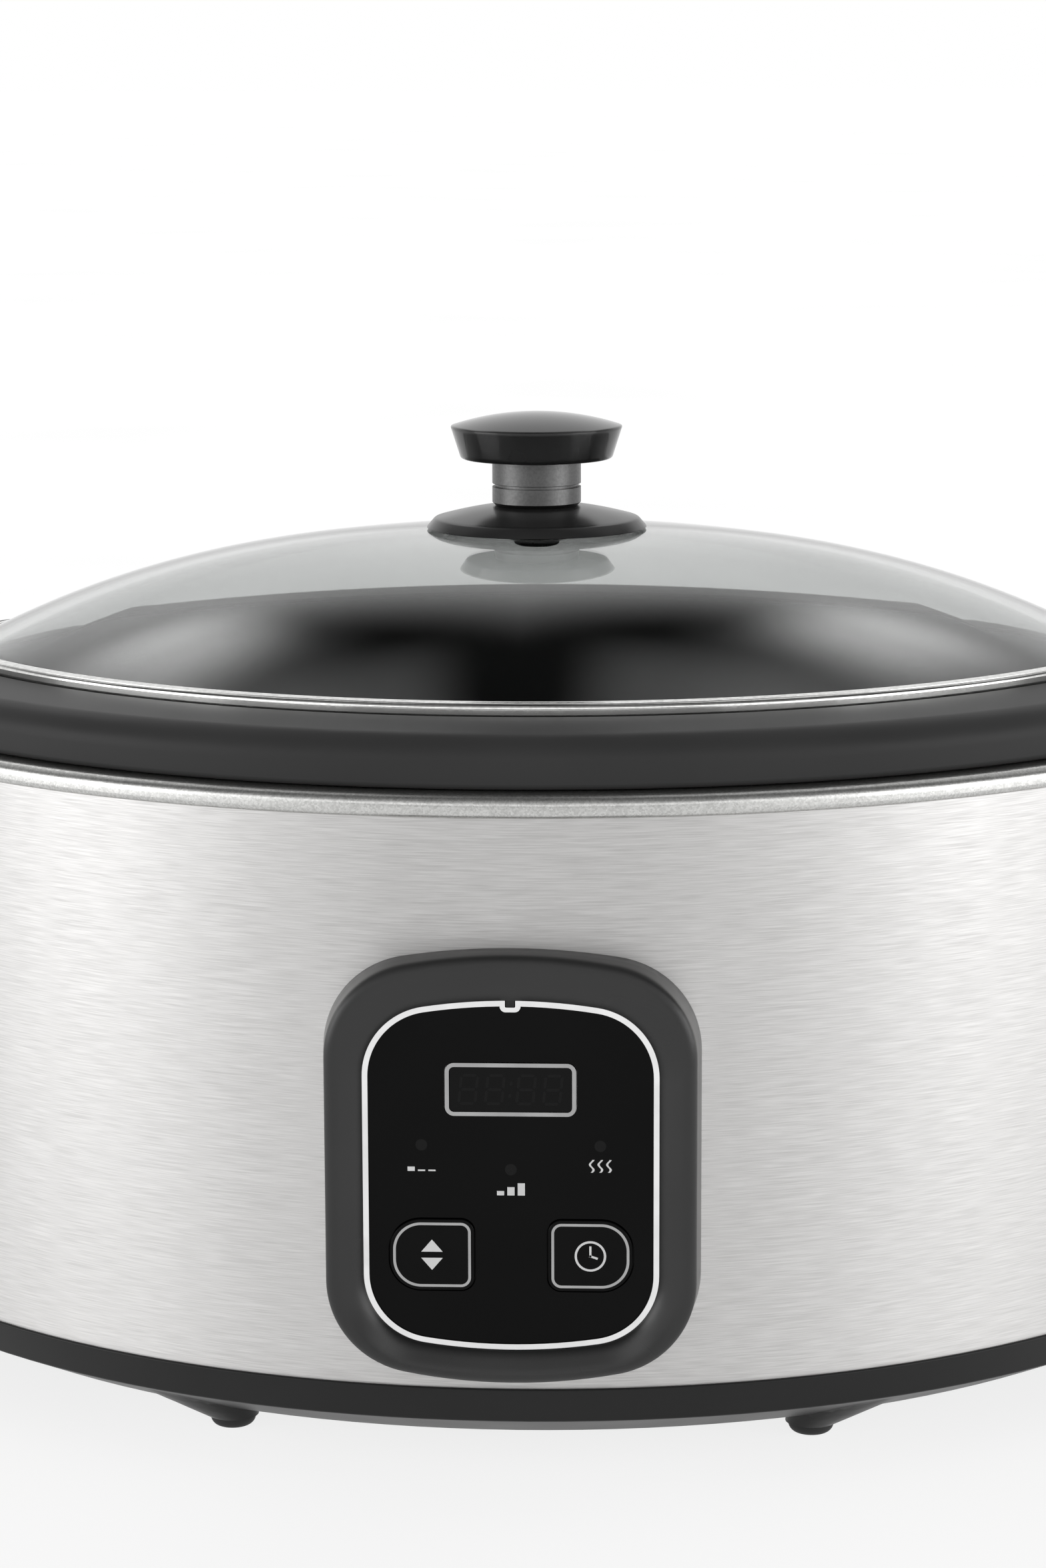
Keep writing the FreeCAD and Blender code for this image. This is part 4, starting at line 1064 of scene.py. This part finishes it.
    def world(self) -> None:
        """Add up the banks of light, each a product of smooth steps along the way a ray goes."""
        world = bpy.data.worlds.new("studio")
        bpy.context.scene.world = world
        world.use_nodes = True
        tree = world.node_tree
        tree.nodes.clear()
        way = add(tree, "ShaderNodeTexCoord").outputs["Generated"]
        part = add(tree, "ShaderNodeSeparateXYZ", {"Vector": way})
        across = add(tree, "ShaderNodeMath", {0: part.outputs["X"], 1: self.gap_shift},
                     operation="ADD")
        aside = add(tree, "ShaderNodeMath", {0: across.outputs["Value"]},
                    operation="ABSOLUTE").outputs["Value"]
        lean = add(tree, "ShaderNodeMath", {0: aside, 1: self.aside_weight, 2: part.outputs["Z"]},
                   operation="MULTIPLY_ADD").outputs["Value"]
        ways = {Way.ASIDE: aside, Way.BACK: part.outputs["Y"], Way.UP: part.outputs["Z"],
                Way.UP_OR_ASIDE: lean}
        total = None
        for bank in self.banks:
            level = None
            for step in bank:
                share = add(tree, "ShaderNodeMapRange",
                            {"Value": ways[step.way], "From Min": step.low, "From Max": step.high,
                             "To Min": step.start, "To Max": step.stop},
                            interpolation_type="SMOOTHSTEP").outputs["Result"]
                level = share if level is None else add(
                    tree, "ShaderNodeMath", {0: level, 1: share},
                    operation="MULTIPLY").outputs["Value"]
            total = level if total is None else add(
                tree, "ShaderNodeMath", {0: total, 1: level}, operation="ADD").outputs["Value"]
        sky = add(tree, "ShaderNodeBackground", {"Color": linear("#ffffff"), "Strength": total})
        add(tree, "ShaderNodeOutputWorld", {"Surface": sky.outputs["Background"]})

    def hang(self, lamp: Lamp, side: int) -> None:
        """Hang one lamp on one side, facing the object.

        Args:
            lamp: Place, size and power.
            side: 1 for the right and -1 for the left.
        """
        data = bpy.data.lights.new(lamp.name, "AREA")
        data.energy = lamp.watts
        data.size = lamp.size
        light = bpy.data.objects.new(lamp.name, data)
        light.location = Vector((side * lamp.aside, lamp.back, lamp.up))
        aim = Vector((0, 0, self.lamp_aim)) - light.location
        light.rotation_euler = aim.to_track_quat("-Z", "Y").to_euler()
        bpy.context.scene.collection.objects.link(light)

    def camera(self) -> None:
        """Stand the camera where the photo was taken from."""
        turn = self.azimuth + self.axis_px / self.focal_px
        right = Vector((math.cos(turn), math.sin(turn), 0))
        ahead = Vector((-math.sin(turn) * math.cos(self.pitch),
                        math.cos(turn) * math.cos(self.pitch), -math.sin(self.pitch)))
        over = right.cross(ahead)
        cos, sin = math.cos(self.roll), math.sin(self.roll)
        across, upward = right * cos - over * sin, over * cos + right * sin
        data = bpy.data.cameras.new("photo_camera")
        data.sensor_fit = "VERTICAL"
        data.sensor_height = self.sensor_mm
        data.sensor_width = self.sensor_mm
        data.lens = self.focal_px * self.sensor_mm / self.photo_height
        data.clip_start = self.clip_mm * MM
        eye = bpy.data.objects.new("photo_camera", data)
        spot = Vector((math.sin(self.azimuth), -math.cos(self.azimuth), 0)) * self.distance_mm
        spot.z = self.height_mm
        eye.matrix_world = Matrix.Translation(spot * MM) @ Matrix(
            (across, upward, -ahead)).transposed().to_4x4()
        bpy.context.scene.collection.objects.link(eye)
        bpy.context.scene.camera = eye
        bpy.context.scene.view_settings.view_transform = "Standard"


def main() -> None:
    """Build every sub-assembly, then the studio."""
    logging.basicConfig(level=logging.INFO, format="%(name)s %(message)s")
    for assembly in (Housing(), Crock(), Lid(), Knob(), ControlPanel(), PanelMarks()):
        assembly.build()
        assembly.dress()
    Studio().build()


if __name__ == "__main__":
    main()
